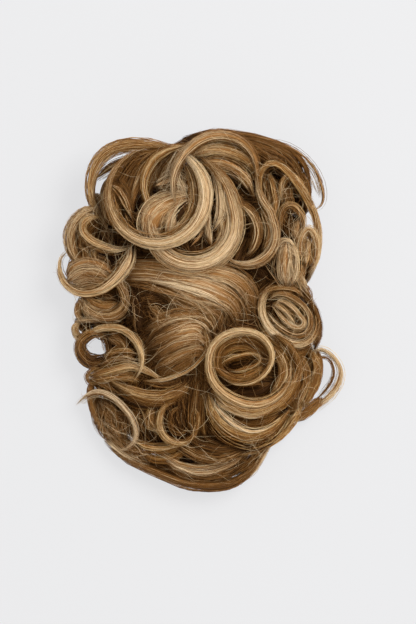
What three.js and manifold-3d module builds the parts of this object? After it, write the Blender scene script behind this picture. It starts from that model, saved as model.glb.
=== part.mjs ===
// A clip-in hairpiece lying on its base: a domed net base, two comb clips under it and ten sections of
// roller-set curls that cover it. Millimetres, +Z up, the table at z = 0, the origin under the middle.
import * as THREE from 'three';
import { mergeVertices } from 'three/addons/utils/BufferGeometryUtils.js';
import Module from 'manifold-3d';

const wasm = await Module();
wasm.setup();
const { degToRad, lerp, smoothstep } = THREE.MathUtils;

// Driving dimensions
const GAP = 0.35;
const CAP = { width: 112, length: 152, rim: 2, rise: 20, wall: 1.6, sides: 20, rows: 5 };
const CLIP = { width: 26, bar: 6, reach: 17, teeth: 7, tooth: 1.8, thick: 1.2, from_middle: 61, seat: 1.9 };
const LOCK = {
  sides: 5, degrees_per_step: 30, shortest_step: 3, root: 0.6, root_share: 0.2, tip: 0.35, tip_share: 0.25,
};
const MOUND = { around: 9, down: 6 };
const LAYER = { sides: 30, past: 200 };
const MIDDLE = { x: -8, y: -6, wide: 72, long: 60, sides: 12 };

// Outline of the combed hair under the curls: its reach from the middle, every 20 degrees from +X
const LAYER_REACH = [70, 70, 84, 104, 108, 99, 93, 80, 74, 66, 60, 90, 103, 110, 113, 94, 84, 74];

// Rise of the combed hair from its middle to its edge: share of the reach, height
const LAYER_RISE = [
  { share: 0.06, height: 34 },
  { share: 0.5, height: 31 },
  { share: 0.8, height: 22 },
  { share: 0.96, height: 11 },
  { share: 1, height: 0 },
];

// One bend of a lock, seen from above: an arc or spiral about x, y whose radius goes from r0 to r1 while
// its angle goes from one to the other, in degrees counter-clockwise from +X
const bend = (x, y, r0, r1, from, to) => ({ x, y, r0, r1, from, to });

// The curled sections, from those that lie on top to those below. A section's backing is its sector of the
// combed hair, between the two angles of its seams, or the oval in the middle, with a mound on it given by
// its middle and its size. A lock runs through its bends from root to tip. Its middle line rises through the
// heights z, and its section is wide across and tall upright: one value, or several spread along it.
const SECTIONS = [
  {
    name: 'crown_curls',
    colour: 0xc2a270,
    seams: [58, 118],
    mound: { x: 4, y: 70, z: 26, wide: 92, long: 62, tall: 30 },
    locks: [
      { bends: [bend(26.7, 73.3, 46, 46, 182, 132), bend(13.5, 94.5, 25, 23, 142, -34)],
        z: [52, 60, 61, 56, 47, 34], wide: [3, 4.5, 6, 6, 6, 5], tall: 6 },
      { bends: [bend(-26.7, 76, 32.5, 32.5, 70, -250)],
        z: [57, 53, 50, 49, 46, 42], wide: [9, 9, 8.5, 7.5, 6, 5], tall: 9 },
      { bends: [bend(-23.3, 58.7, 49, 47, 62, 16), bend(-5, 59, 29.3, 29.3, 8, -222)],
        z: [49, 45, 43, 43, 43, 35], wide: [8, 9, 10.5, 11, 10, 9], tall: 9 },
      { bends: [bend(-11.3, 57.3, 20, 20, 95, 222)], z: [39, 39, 37], wide: 9, tall: 8 },
      { bends: [bend(16.7, 62, 37.5, 37.5, 118, 58)], z: [34, 43, 33], wide: 17, tall: 11 },
      { bends: [bend(18.7, 52, 20, 20, 75, -60)], z: [40, 41, 36], wide: 4.5, tall: 11 },
      { bends: [bend(70, 88, 32, 32, 178, 226), bend(30, 50.7, 20.7, 20.7, 28, -138)],
        z: [44, 45, 44, 44, 43], wide: [4, 5.5, 5, 5.5, 5], tall: 9 },
    ],
  },
  {
    name: 'barrel_curl',
    colour: 0xb08a55,
    seams: [-68, -32],
    mound: { x: 31, y: -46, z: 20, wide: 56, long: 58, tall: 34 },
    locks: [
      { bends: [bend(28.7, -36, 35, 22, 0, -270)],
        z: [30, 34, 41, 45], wide: [11, 13, 9, 6.5], tall: [10, 12, 18, 22] },
      { bends: [bend(28.7, -36, 22, 15, -262, -545)],
        z: [45, 46, 43, 38], wide: [6.5, 6, 5.5, 5], tall: [22, 20, 16, 12] },
      { bends: [bend(26.7, -36, 9, 5, 160, -130)], z: [36, 38, 36], wide: 4.5, tall: 10 },
      { bends: [bend(33.3, -53.3, 28.7, 28.7, 172, 358)], z: [28, 32, 32, 27], wide: 8, tall: 12 },
      { bends: [bend(33.3, -60, 31, 31, 202, 342)], z: [18, 22, 22, 18], wide: 8, tall: 16 },
      { bends: [bend(34.7, -50, 28, 28, 66, -28)], z: [38, 34, 29], wide: 9, tall: 12 },
      { bends: [bend(53.3, -54.7, 55.5, 55.5, 134, 222)], z: [34, 30, 26, 20], wide: 13, tall: 11 },
    ],
  },
  {
    name: 'centre_swirl',
    colour: 0xa98c63,
    mound: { x: -8, y: -8, z: 28, wide: 88, long: 66, tall: 22 },
    locks: [
      { bends: [bend(-22.7, -18.7, 27.5, 27.5, 18, -132)], z: [38, 43, 42, 36, 28], wide: 4, tall: 8 },
      { bends: [bend(-8.7, -48.7, 41.3, 41.3, 146, 74)], z: [32, 41, 43, 36], wide: 10, tall: 10 },
      { bends: [bend(-6.7, -58.7, 42.7, 42.7, 142, 78)], z: [32, 41, 43, 36], wide: 10, tall: 10 },
      { bends: [bend(-6.7, -65.3, 40, 40, 142, 78)], z: [28, 37, 39, 34], wide: 10, tall: 10 },
      { bends: [bend(-23.3, -40, 66, 66, 112, 30)], z: [30, 38, 41, 33], wide: 12, tall: 9 },
      { bends: [bend(-26.7, -36.7, 54, 54, 112, 24)], z: [30, 38, 40, 31], wide: 12, tall: 9 },
      { bends: [bend(-33.3, -36.7, 48, 46, 98, 24)], z: [31, 38, 39, 31], wide: 11, tall: 9 },
    ],
  },
  {
    name: 'right_spiral',
    colour: 0xb3915f,
    seams: [-32, 8],
    mound: { x: 60, y: -14, z: 17, wide: 32, long: 54, tall: 32 },
    locks: [
      { bends: [bend(58.7, -1.5, 9.5, 7, 150, 468)], z: [33, 34, 33, 31], wide: 4, tall: 9 },
      { bends: [bend(58, -4.7, 18.5, 17, 110, 440)], z: [33, 32, 31, 28, 27], wide: 7.5, tall: 15 },
      { bends: [bend(52, -10, 28, 28, 56, -35)], z: [22, 19, 15], wide: 5.5, tall: 20 },
      { bends: [bend(26.7, -30, 48, 48, 12, -48)], z: [21, 19, 13], wide: 12, tall: 18 },
      { bends: [bend(79, -43.5, 14.5, 14.5, 128, -42), bend(46.7, -13.3, 60, 60, -44, -74)],
        z: [18, 13, 10, 8, 7], wide: [3.5, 4.5, 4.5, 4.5, 4], tall: 7 },
    ],
  },
  {
    name: 'upper_left_curls',
    colour: 0xa07c4c,
    seams: [118, 162],
    mound: { x: -58, y: 60, z: 18, wide: 38, long: 66, tall: 30 },
    locks: [
      { bends: [bend(-56, 63.3, 22, 22, 180, 290)], z: [30, 33, 34, 32], wide: 5.5, tall: 10 },
      { bends: [bend(-44, 80, 30, 30, 60, 236)],
        z: [40, 36, 32, 28, 26], wide: [6, 8, 8, 8, 6], tall: [8, 12, 18, 20, 18] },
      { bends: [bend(-68.7, 48, 18.7, 18.7, 85, 226)], z: [28, 24, 20, 18], wide: 9, tall: 26 },
    ],
  },
  {
    name: 'upper_right_sweep',
    colour: 0x8e6c42,
    seams: [34, 58],
    mound: { x: 54, y: 82, z: 20, wide: 42, long: 54, tall: 36 },
    locks: [
      { bends: [bend(48, 88, 8.7, 8.7, 215, 52), bend(14.7, 28, 74.7, 74.7, 51, 30)],
        z: [30, 43, 46, 40, 26], wide: [4.5, 5, 5.5, 5.5, 6], tall: 9 },
      { bends: [bend(62.7, 79.3, 8.7, 8.7, 215, 75)], z: [36, 40, 36], wide: 4, tall: 10 },
      { bends: [bend(62, 58.7, 9.3, 9.3, 205, 20)], z: [32, 36, 30], wide: 4.5, tall: 12 },
      { bends: [bend(32.7, 73.3, 38, 38, 112, -6)],
        z: [36, 33, 27, 22], wide: [10, 13, 14, 10], tall: [12, 18, 24, 22] },
      { bends: [bend(44, 74, 39, 39.3, 92, 0), bend(76, 74, 7.3, 7.3, 0, -120)],
        z: [38, 30, 24, 24], wide: 2.4, tall: 4 },
    ],
  },
  {
    name: 'right_ringlets',
    colour: 0xb39263,
    seams: [8, 34],
    mound: { x: 66, y: 28, z: 17, wide: 26, long: 54, tall: 34 },
    locks: [
      { bends: [bend(86.7, 30, 28.7, 28.7, 150, 214)], z: [30, 38, 28], wide: 12, tall: 16 },
      { bends: [bend(56.7, 42, 24.7, 24.7, 64, -62)], z: [32, 26, 20, 16], wide: 4.5, tall: 22 },
      { bends: [bend(93.3, 38.7, 23.3, 23.3, 150, 212)], z: [28, 30, 22], wide: 7, tall: 14 },
    ],
  },
  {
    name: 'left_ringlets',
    colour: 0xa98a5c,
    seams: [162, 212],
    mound: { x: -62, y: 8, z: 14, wide: 30, long: 60, tall: 24 },
    locks: [
      { bends: [bend(-71.3, 32, 22, 22, 28, -202)],
        z: [34, 33, 31, 28, 25], wide: [5, 5, 4.5, 3, 2.2], tall: 6 },
      { bends: [bend(-20, -56.7, 24, 24, 186, 152), bend(-58.7, -31.3, 20.5, 20.5, -36, 118)],
        z: [30, 34, 35, 30, 23], wide: [2.5, 4.5, 5, 5.5, 6], tall: 6 },
      { bends: [bend(-70, -24.7, 9.8, 9.8, 80, 380)], z: [23, 19, 15, 13, 13], wide: 8, tall: 22 },
      { bends: [bend(-64.7, 8.7, 12.7, 12.7, 55, -185)], z: [28, 26, 22, 18], wide: 7, tall: 18 },
      { bends: [bend(-74.7, 1.3, 22.7, 22.7, 132, 48)], z: [18, 24, 26], wide: 14, tall: 22 },
      { bends: [bend(-76, -2, 6.3, 6.3, 110, 260), bend(-66.7, -46.7, 38.7, 38.7, 105, 68)],
        z: [18, 22, 26], wide: 3.2, tall: 8 },
    ],
  },
  {
    name: 'lower_left_curls',
    colour: 0xac8753,
    seams: [212, 248],
    mound: { x: -34, y: -60, z: 14, wide: 60, long: 40, tall: 24 },
    locks: [
      { bends: [bend(-13.3, -76, 12.7, 12.7, 110, 332)], z: [24, 29, 27, 22], wide: 4, tall: 10 },
      { bends: [bend(-14.7, -73.3, 7.3, 6, 130, 410)], z: [25, 23, 20], wide: 3.5, tall: 12 },
      { bends: [bend(-30, -28, 30.5, 30.5, 218, 338)], z: [24, 28, 31, 30], wide: 10, tall: 12 },
      { bends: [bend(-50, -86.7, 48, 48, 128, 76)], z: [14, 23, 28], wide: 9, tall: 14 },
      { bends: [bend(-62, -76, 19, 19, 138, -98)],
        z: [17, 23, 23, 17], wide: [3, 4.5, 4.5, 4.5, 4], tall: 9 },
    ],
  },
  {
    name: 'nape_sweep',
    colour: 0x93713f,
    seams: [248, 292],
    mound: { x: 6, y: -92, z: 12, wide: 76, long: 34, tall: 22 },
    locks: [
      { bends: [bend(10, -13.3, 105, 105, 226, 268), bend(9.3, -84.7, 33.5, 33.5, 270, 350)],
        z: [8, 10, 11, 12, 12], wide: [5, 8, 10, 10, 8], tall: [12, 18, 20, 20, 18] },
      { bends: [bend(4.7, -47.3, 58.7, 58.7, 240, 312)], z: [19, 22, 19], wide: 7.5, tall: 10 },
      { bends: [bend(0, -26.7, 69, 69, 240, 300)], z: [20, 24, 21], wide: 9, tall: 10 },
      { bends: [bend(3.3, -56.7, 55, 55, 238, 322)], z: [14, 16, 15], wide: 9, tall: 13 },
      { bends: [bend(-6.7, -50, 69, 69, 178, 232)], z: [9, 9, 9], wide: 5, tall: 17 },
    ],
  },
];

// A closed mesh as a solid that can be joined and cut, turned outwards if its faces point in
function solid(geometry) {
  geometry.deleteAttribute('normal');
  geometry.deleteAttribute('uv');
  const merged = mergeVertices(geometry, 1e-4);
  const vertProperties = new Float32Array(merged.attributes.position.array);
  const triVerts = new Uint32Array(merged.index.array);
  const corner = (index) => new THREE.Vector3().fromArray(vertProperties, 3 * index);
  let volume = 0;
  for (let i = 0; i < triVerts.length; i += 3) {
    const [a, b, c] = [corner(triVerts[i]), corner(triVerts[i + 1]), corner(triVerts[i + 2])];
    volume += a.dot(b.cross(c));
  }
  if (volume < 0) {
    triVerts.reverse();
  }
  return new wasm.Manifold(new wasm.Mesh({ numProp: 3, vertProperties, triVerts }));
}

// The largest body of a cut solid, as three.js geometry
function largestBody(manifold) {
  const bodies = manifold.decompose();
  bodies.sort((one, other) => other.volume() - one.volume());
  const { vertProperties, triVerts } = bodies[0].getMesh();
  const geometry = new THREE.BufferGeometry();
  geometry.setAttribute('position', new THREE.BufferAttribute(vertProperties, 3));
  geometry.setIndex(new THREE.BufferAttribute(triVerts, 1));
  geometry.computeVertexNormals();
  return geometry;
}

// A skin through rings of points, closed at both ends by fans about the middle of the end ring
function loft(rings) {
  const sides = rings[0].length;
  const points = rings.flat();
  const index = [];
  for (let i = 0; i + 1 < rings.length; i += 1) {
    for (let k = 0; k < sides; k += 1) {
      const here = i * sides + k;
      const next = i * sides + ((k + 1) % sides);
      index.push(here, here + sides, next, next, here + sides, next + sides);
    }
  }
  const last = (rings.length - 1) * sides;
  const ends = [rings[0], rings[rings.length - 1]];
  const [first_middle, last_middle] = ends.map((ring) => points.push(middleOf(ring)) - 1);
  for (let k = 0; k < sides; k += 1) {
    const next = (k + 1) % sides;
    index.push(first_middle, k, next);
    index.push(last_middle, last + next, last + k);
  }
  const geometry = new THREE.BufferGeometry().setFromPoints(points);
  geometry.setIndex(index);
  return geometry;
}

function middleOf(ring) {
  const sum = ring.reduce((total, point) => total.add(point), new THREE.Vector3());
  return sum.divideScalar(ring.length);
}

// A value at a share of the way along: the value itself, or one read between the values of a list
function along(values, share) {
  if (!Array.isArray(values)) {
    return values;
  }
  const place = share * (values.length - 1);
  const step = Math.min(Math.floor(place), values.length - 2);
  return lerp(values[step], values[step + 1], smoothstep(place - step, 0, 1));
}

// Points of a lock's middle line with their share of its length
function middleLine(lock) {
  const points = [];
  for (const { x, y, r0, r1, from, to } of lock.bends) {
    const steps = Math.max(2, Math.ceil(Math.abs(to - from) / LOCK.degrees_per_step));
    for (let i = 0; i <= steps; i += 1) {
      const angle = degToRad(lerp(from, to, i / steps));
      const radius = lerp(r0, r1, i / steps);
      const point = new THREE.Vector3(x + radius * Math.cos(angle), y + radius * Math.sin(angle), 0);
      if (points.length === 0 || point.distanceTo(points[points.length - 1]) > LOCK.shortest_step) {
        points.push(point);
      }
    }
  }
  const lengths = [0];
  for (let i = 1; i < points.length; i += 1) {
    lengths.push(lengths[i - 1] + points[i].distanceTo(points[i - 1]));
  }
  const shares = lengths.map((length) => length / lengths[lengths.length - 1]);
  points.forEach((point, i) => point.setZ(along(lock.z, shares[i])));
  return { points, shares };
}

// A lock: an oval section carried along its middle line, slimmer at root and tip, flat on the table
function lockSolid(lock, grow) {
  const { points, shares } = middleLine(lock);
  const last = points.length - 1;
  const rings = points.map((point, i) => {
    const forward = points[Math.min(i + 1, last)].clone().sub(points[Math.max(i - 1, 0)]).normalize();
    const side = new THREE.Vector3(forward.y, -forward.x, 0).normalize();
    const up = side.clone().cross(forward);
    const share = shares[i];
    const root = lerp(LOCK.root, 1, smoothstep(share, 0, LOCK.root_share));
    const tip = lerp(LOCK.tip, 1, smoothstep(1 - share, 0, LOCK.tip_share));
    const slim = root * tip;
    const half_wide = (along(lock.wide, share) * slim) / 2 + grow;
    const half_tall = (along(lock.tall, share) * slim) / 2 + grow;
    return Array.from({ length: LOCK.sides }, (_, k) => {
      const angle = degToRad(((k + 0.5) * 360) / LOCK.sides + 90);
      const corner = point.clone();
      corner.addScaledVector(side, half_wide * Math.cos(angle));
      corner.addScaledVector(up, half_tall * Math.sin(angle));
      return corner.setZ(Math.max(corner.z, -grow));
    });
  });
  return solid(loft(rings));
}

// The mound on a section's backing
function moundSolid({ x, y, z, wide, long, tall }, grow) {
  const geometry = new THREE.SphereGeometry(0.5, MOUND.around, MOUND.down);
  geometry.rotateX(Math.PI / 2);
  geometry.scale(wide + 2 * grow, long + 2 * grow, tall + 2 * grow);
  geometry.translate(x, y, z);
  return solid(geometry);
}

// The combed hair that covers the base: rings of its outline drawn in and raised towards the middle
function layerSolid(grow) {
  const corners = LAYER_REACH.map((reach, i) => {
    const angle = (2 * Math.PI * i) / LAYER_REACH.length;
    return new THREE.Vector3(Math.cos(angle), Math.sin(angle), 0).multiplyScalar(reach + grow);
  });
  const curve = new THREE.CatmullRomCurve3(corners, true);
  const outline = curve.getSpacedPoints(LAYER.sides).slice(0, LAYER.sides);
  const rings = LAYER_RISE.map(({ share, height }) => {
    const level = height + Math.sign(height) * grow;
    return outline.map((point) => new THREE.Vector3(point.x * share, point.y * share, level));
  });
  return solid(loft(rings));
}

// An upright prism over the sector between two seams, its sides drawn in from them
function sectorPrism([from, to], drawn_in) {
  const [start, end] = [degToRad(from), degToRad(to)];
  const shape = new THREE.Shape();
  shape.moveTo(0, 0);
  shape.lineTo(LAYER.past * Math.cos(start), LAYER.past * Math.sin(start));
  shape.absarc(0, 0, LAYER.past, start, end);
  const upright = { depth: LAYER.past, bevelEnabled: false, curveSegments: 3 };
  const geometry = new THREE.ExtrudeGeometry(shape, upright);
  const shift = drawn_in / Math.sin((end - start) / 2);
  const middle = (start + end) / 2;
  return solid(geometry.translate(shift * Math.cos(middle), shift * Math.sin(middle), -LAYER.past / 2));
}

// An upright prism over the oval in the middle
function middlePrism(grow) {
  const geometry = new THREE.CylinderGeometry(0.5, 0.5, LAYER.past, MIDDLE.sides);
  geometry.rotateX(Math.PI / 2);
  geometry.scale(MIDDLE.wide + 2 * grow, MIDDLE.long + 2 * grow, 1);
  return solid(geometry.translate(MIDDLE.x, MIDDLE.y, 0));
}

// A section: its part of the combed hair, its mound and its locks, all fused
function sectionSolid({ seams, mound, locks }, grow) {
  const layer = layerSolid(grow);
  const part = seams
    ? layer.intersect(sectorPrism(seams, GAP - grow)).subtract(middlePrism(GAP))
    : layer.intersect(middlePrism(grow));
  const backing = part.add(moundSolid(mound, grow));
  return locks.reduce((body, lock) => body.add(lockSolid(lock, grow)), backing);
}

// Points of a dome's profile from its top to its rim: the height falls with the square of the way out
function domeProfile(reach, rise, rim) {
  return Array.from({ length: CAP.rows + 1 }, (_, i) => {
    const share = i / CAP.rows;
    return new THREE.Vector2(reach * share, rim + rise * (1 - share ** 2));
  });
}

// A profile turned about the upright axis and drawn in to the base's oval
function ovalLathe(profile) {
  const geometry = new THREE.LatheGeometry(profile, CAP.sides);
  geometry.rotateX(Math.PI / 2);
  geometry.scale(CAP.width / CAP.length, 1, 1);
  return solid(geometry);
}

function capSolid() {
  const outer = domeProfile(CAP.length / 2, CAP.rise, CAP.rim);
  const inner = domeProfile(CAP.length / 2 - 2 * CAP.wall, CAP.rise - CAP.wall, CAP.rim);
  return ovalLathe([...outer, ...inner.reverse()]);
}

// All the space from the table up to just over the base, which the hair stays out of
function capRoom() {
  const below_table = -5;
  const outer = domeProfile(CAP.length / 2 + 2 * GAP, CAP.rise, CAP.rim + GAP);
  const rim = outer[outer.length - 1];
  return ovalLathe([...outer, new THREE.Vector2(rim.x, below_table), new THREE.Vector2(0, below_table)]);
}

// A comb clip: a bar with a row of teeth, in one plate
function clipGeometry() {
  const shape = new THREE.Shape();
  const half = CLIP.width / 2;
  const pitch = (CLIP.width - CLIP.tooth) / (CLIP.teeth - 1);
  shape.moveTo(half, CLIP.bar);
  shape.lineTo(-half, CLIP.bar);
  for (let i = 0; i < CLIP.teeth; i += 1) {
    const left = -half + i * pitch;
    shape.lineTo(left, CLIP.bar - CLIP.reach);
    shape.lineTo(left + CLIP.tooth, CLIP.bar - CLIP.reach);
    if (i + 1 < CLIP.teeth) {
      shape.lineTo(left + CLIP.tooth, 0);
      shape.lineTo(left + pitch, 0);
    }
  }
  const geometry = new THREE.ExtrudeGeometry(shape, { depth: CLIP.thick, bevelEnabled: false });
  return geometry.translate(0, 0, -CLIP.thick);
}

// A clip under the base on its long axis, lying along the slope of the dome there
function clipMesh(name, turn) {
  const inner_reach = CAP.length / 2 - 2 * CAP.wall;
  const inner_rise = CAP.rise - CAP.wall;
  const share = CLIP.from_middle / inner_reach;
  const slope = (2 * inner_rise * share) / inner_reach;
  const clip = new THREE.Mesh(clipGeometry(), CLIP_FINISH.clone());
  clip.name = name;
  clip.position.set(0, CLIP.from_middle, CAP.rim + inner_rise * (1 - share ** 2) - CLIP.seat);
  clip.rotation.x = -Math.atan(slope);
  const holder = new THREE.Group();
  holder.rotation.z = turn;
  holder.add(clip);
  return holder;
}

const NET_FINISH = new THREE.MeshStandardMaterial({ color: 0x4a3624, roughness: 0.9 });
const CLIP_FINISH = new THREE.MeshStandardMaterial({ color: 0x3b2c20, roughness: 0.4, metalness: 0.6 });
const hairFinish = (color) => new THREE.MeshStandardMaterial({ color, roughness: 0.45 });

function mesh(name, manifold, material) {
  const made = new THREE.Mesh(largestBody(manifold), material);
  made.name = name;
  return made;
}

const hairpiece = new THREE.Group();
hairpiece.add(mesh('cap_base', capSolid(), NET_FINISH));
hairpiece.add(clipMesh('clip_top', 0), clipMesh('clip_bottom', Math.PI));

// Each section is cut clear of the base and of the sections that lie over it
let taken = capRoom();
for (const section of SECTIONS) {
  const body = sectionSolid(section, 0).subtract(taken);
  hairpiece.add(mesh(section.name, body, hairFinish(section.colour)));
  taken = taken.add(sectionSolid(section, GAP));
}

// The origin is on the table under the middle of the whole
const middle = new THREE.Box3().setFromObject(hairpiece).getCenter(new THREE.Vector3());
hairpiece.position.set(-middle.x, -middle.y, 0);

export default hairpiece;
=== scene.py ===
from functools import partial
import bpy
import numpy as np
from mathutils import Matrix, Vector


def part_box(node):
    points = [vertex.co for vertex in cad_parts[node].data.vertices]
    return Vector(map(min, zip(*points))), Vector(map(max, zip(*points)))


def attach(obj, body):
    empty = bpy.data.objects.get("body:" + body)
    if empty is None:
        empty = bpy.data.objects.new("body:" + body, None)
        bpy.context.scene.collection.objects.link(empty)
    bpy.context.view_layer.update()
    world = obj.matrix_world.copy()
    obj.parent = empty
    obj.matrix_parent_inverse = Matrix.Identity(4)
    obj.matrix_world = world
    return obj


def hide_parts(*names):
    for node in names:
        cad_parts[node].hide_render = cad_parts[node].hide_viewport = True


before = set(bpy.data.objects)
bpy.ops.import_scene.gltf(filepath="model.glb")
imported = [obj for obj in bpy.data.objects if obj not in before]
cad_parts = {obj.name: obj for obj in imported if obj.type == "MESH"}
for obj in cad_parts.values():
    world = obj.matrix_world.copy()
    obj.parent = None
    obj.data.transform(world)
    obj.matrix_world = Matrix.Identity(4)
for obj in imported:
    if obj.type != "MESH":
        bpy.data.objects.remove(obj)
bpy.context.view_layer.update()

mm = 0.001
capLow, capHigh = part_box("cap_base")
placeX = (capLow.x + capHigh.x) / 2  # the tables below count from the middle of the net base
placeY = (capLow.y + capHigh.y) / 2
tableGap = 0.15  # mm, no hair comes nearer to the table
strandSides = 3
upright = [0.0, 0.0, 1.0]


# Arrays and meshes

# a list smoothed along its first axis by a moving mean; the ends carry on in their own direction
def smoothed(values, window):
    half = window // 2
    flat = values.reshape(len(values), -1)
    padded = np.pad(flat, ((half, half), (0, 0)), mode="reflect", reflect_type="odd")
    sums = np.cumsum(np.vstack([np.zeros((1, flat.shape[1])), padded]), axis=0)
    return ((sums[2 * half + 1:] - sums[:-2 * half - 1]) / (2 * half + 1)).reshape(values.shape)


# one value, or several spread evenly along the lock, read at each share of the way
def spread(values, share):
    listed = np.atleast_1d(np.asarray(values, float))
    return np.interp(share, np.linspace(0, 1, len(listed)), listed)


# 0 up to low, 1 from high on, and 3 t^2 - 2 t^3 in between
def softStep(x, low, high):
    t = np.clip((x - low) / (high - low), 0, 1)
    return t * t * (3 - 2 * t)


# vectors brought to a length of 1
def unit(vectors):
    return vectors / np.maximum(np.linalg.norm(vectors, axis=-1, keepdims=True), 1e-9)


# thickness towards an end: a share of the full one at the end itself, growing with the way from it
def taper(way, atEnd, growth):
    return np.minimum(1, atEnd + growth * way)


wanderWaves = ((0.6, 0.4, 1.1), (0.32, 1.1, 2.4), (0.16, 2.4, 4.6))  # height, lowest and highest rate


# slow wander: three sines along each strand with drawn rates and phases, about 1 high; strands that
# share an owner share its draw
def wander(rng, share, owners=None, count=None):
    count = len(share) if owners is None else count
    owners = np.arange(count) if owners is None else owners
    total = np.zeros_like(share)
    for size, low, high in wanderWaves:
        rate = rng.uniform(low, high, (count, 1))[owners]
        phase = rng.uniform(0, 1, (count, 1))[owners]
        total += size * np.sin(2 * np.pi * (rate * share + phase))
    return total


# round tubes along many paths at once: a ring of corners stands across each step of each path,
# place + radius (side cos a + up sin a), with side across the path and up away from the body
def tubes(paths, out, radius, sides):
    forward = unit(np.gradient(paths, axis=1))
    side = unit(np.cross(forward, out))
    up = np.cross(side, forward)
    angle = np.pi / 2 + 2 * np.pi * np.arange(sides) / sides
    ring = side[:, :, None] * np.cos(angle)[:, None] + up[:, :, None] * np.sin(angle)[:, None]
    return paths[:, :, None] + radius[:, :, None, None] * ring


# a batch of strands: thin tubes with a tone, a warmth and a combed-out place for each of their rings
def strandBatch(paths, out, radius, tone, warm, comb):
    corners = tubes(paths, np.broadcast_to(out, paths.shape), radius, strandSides)
    return corners, tone[..., None], warm, np.repeat(comb[:, :, None], strandSides, axis=2)


# faces of n tubes of m rings of k corners, quads along each tube and a face over each end
def tubeFaces(n, m, k, start):
    base = start + np.arange(n)[:, None, None] * m * k
    ring = np.arange(m - 1)[None, :, None] * k
    here = np.arange(k)[None, None, :]
    after = (here + 1) % k
    a = base + ring + here
    b = base + ring + after
    quads = np.stack([a, a + k, b + k, b], -1).reshape(-1, 4)
    first = start + np.arange(n)[:, None] * m * k + np.arange(k)[None, :]
    last = first[:, ::-1] + (m - 1) * k
    return quads, np.concatenate([first, last])


triangleCount = []
hairPoints = []  # the corners of every piece, in mm, for the stray hairs that lie over them


# a mesh object from batches of tubes, each with its corners, tone, warmth and combed-out coordinates
def hairObject(name, batches, material):
    corners, tones, warmths, combs, loops, sizes = [], [], [], [], [], []
    start = 0
    for place, tone, warmth, comb in batches:
        n, m, k = place.shape[:3]
        quads, ends = tubeFaces(n, m, k, start)
        corners.append(place.reshape(-1, 3))
        tones.append(np.broadcast_to(tone, place.shape[:3]).reshape(-1))
        warmths.append(np.broadcast_to(warmth, place.shape[:3]).reshape(-1))
        combs.append(comb.reshape(-1, 3))
        for faces in (quads, ends):
            loops.append(faces.reshape(-1))
            sizes.append(np.full(len(faces), faces.shape[1]))
        start += n * m * k
    corners = np.concatenate(corners)
    corners[:, 2] = np.maximum(corners[:, 2], tableGap)
    hairPoints.append(corners)
    corners = corners * mm + np.array([placeX, placeY, 0])
    loops = np.concatenate(loops)
    sizes = np.concatenate(sizes)
    mesh = bpy.data.meshes.new(name)
    mesh.vertices.add(len(corners))
    mesh.loops.add(len(loops))
    mesh.polygons.add(len(sizes))
    mesh.vertices.foreach_set("co", corners.astype(np.float32).ravel())
    mesh.loops.foreach_set("vertex_index", loops.astype(np.int32))
    mesh.polygons.foreach_set("loop_start", (np.cumsum(sizes) - sizes).astype(np.int32))
    mesh.polygons.foreach_set("use_smooth", np.ones(len(sizes), bool))
    for title, values in (("tone", tones), ("warmth", warmths)):
        layer = mesh.attributes.new(title, "FLOAT", "POINT")
        layer.data.foreach_set("value", np.concatenate(values).astype(np.float32))
    layer = mesh.attributes.new("comb", "FLOAT_VECTOR", "POINT")
    layer.data.foreach_set("vector", np.concatenate(combs).astype(np.float32).ravel())
    mesh.update(calc_edges=True)
    mesh.materials.append(material)
    piece = bpy.data.objects.new(name, mesh)
    bpy.context.scene.collection.objects.link(piece)
    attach(piece, "root")
    triangleCount.append(int((sizes - 2).sum()))
    print(name, "has", triangleCount[-1], "triangles")
    return piece


# Locks

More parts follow.
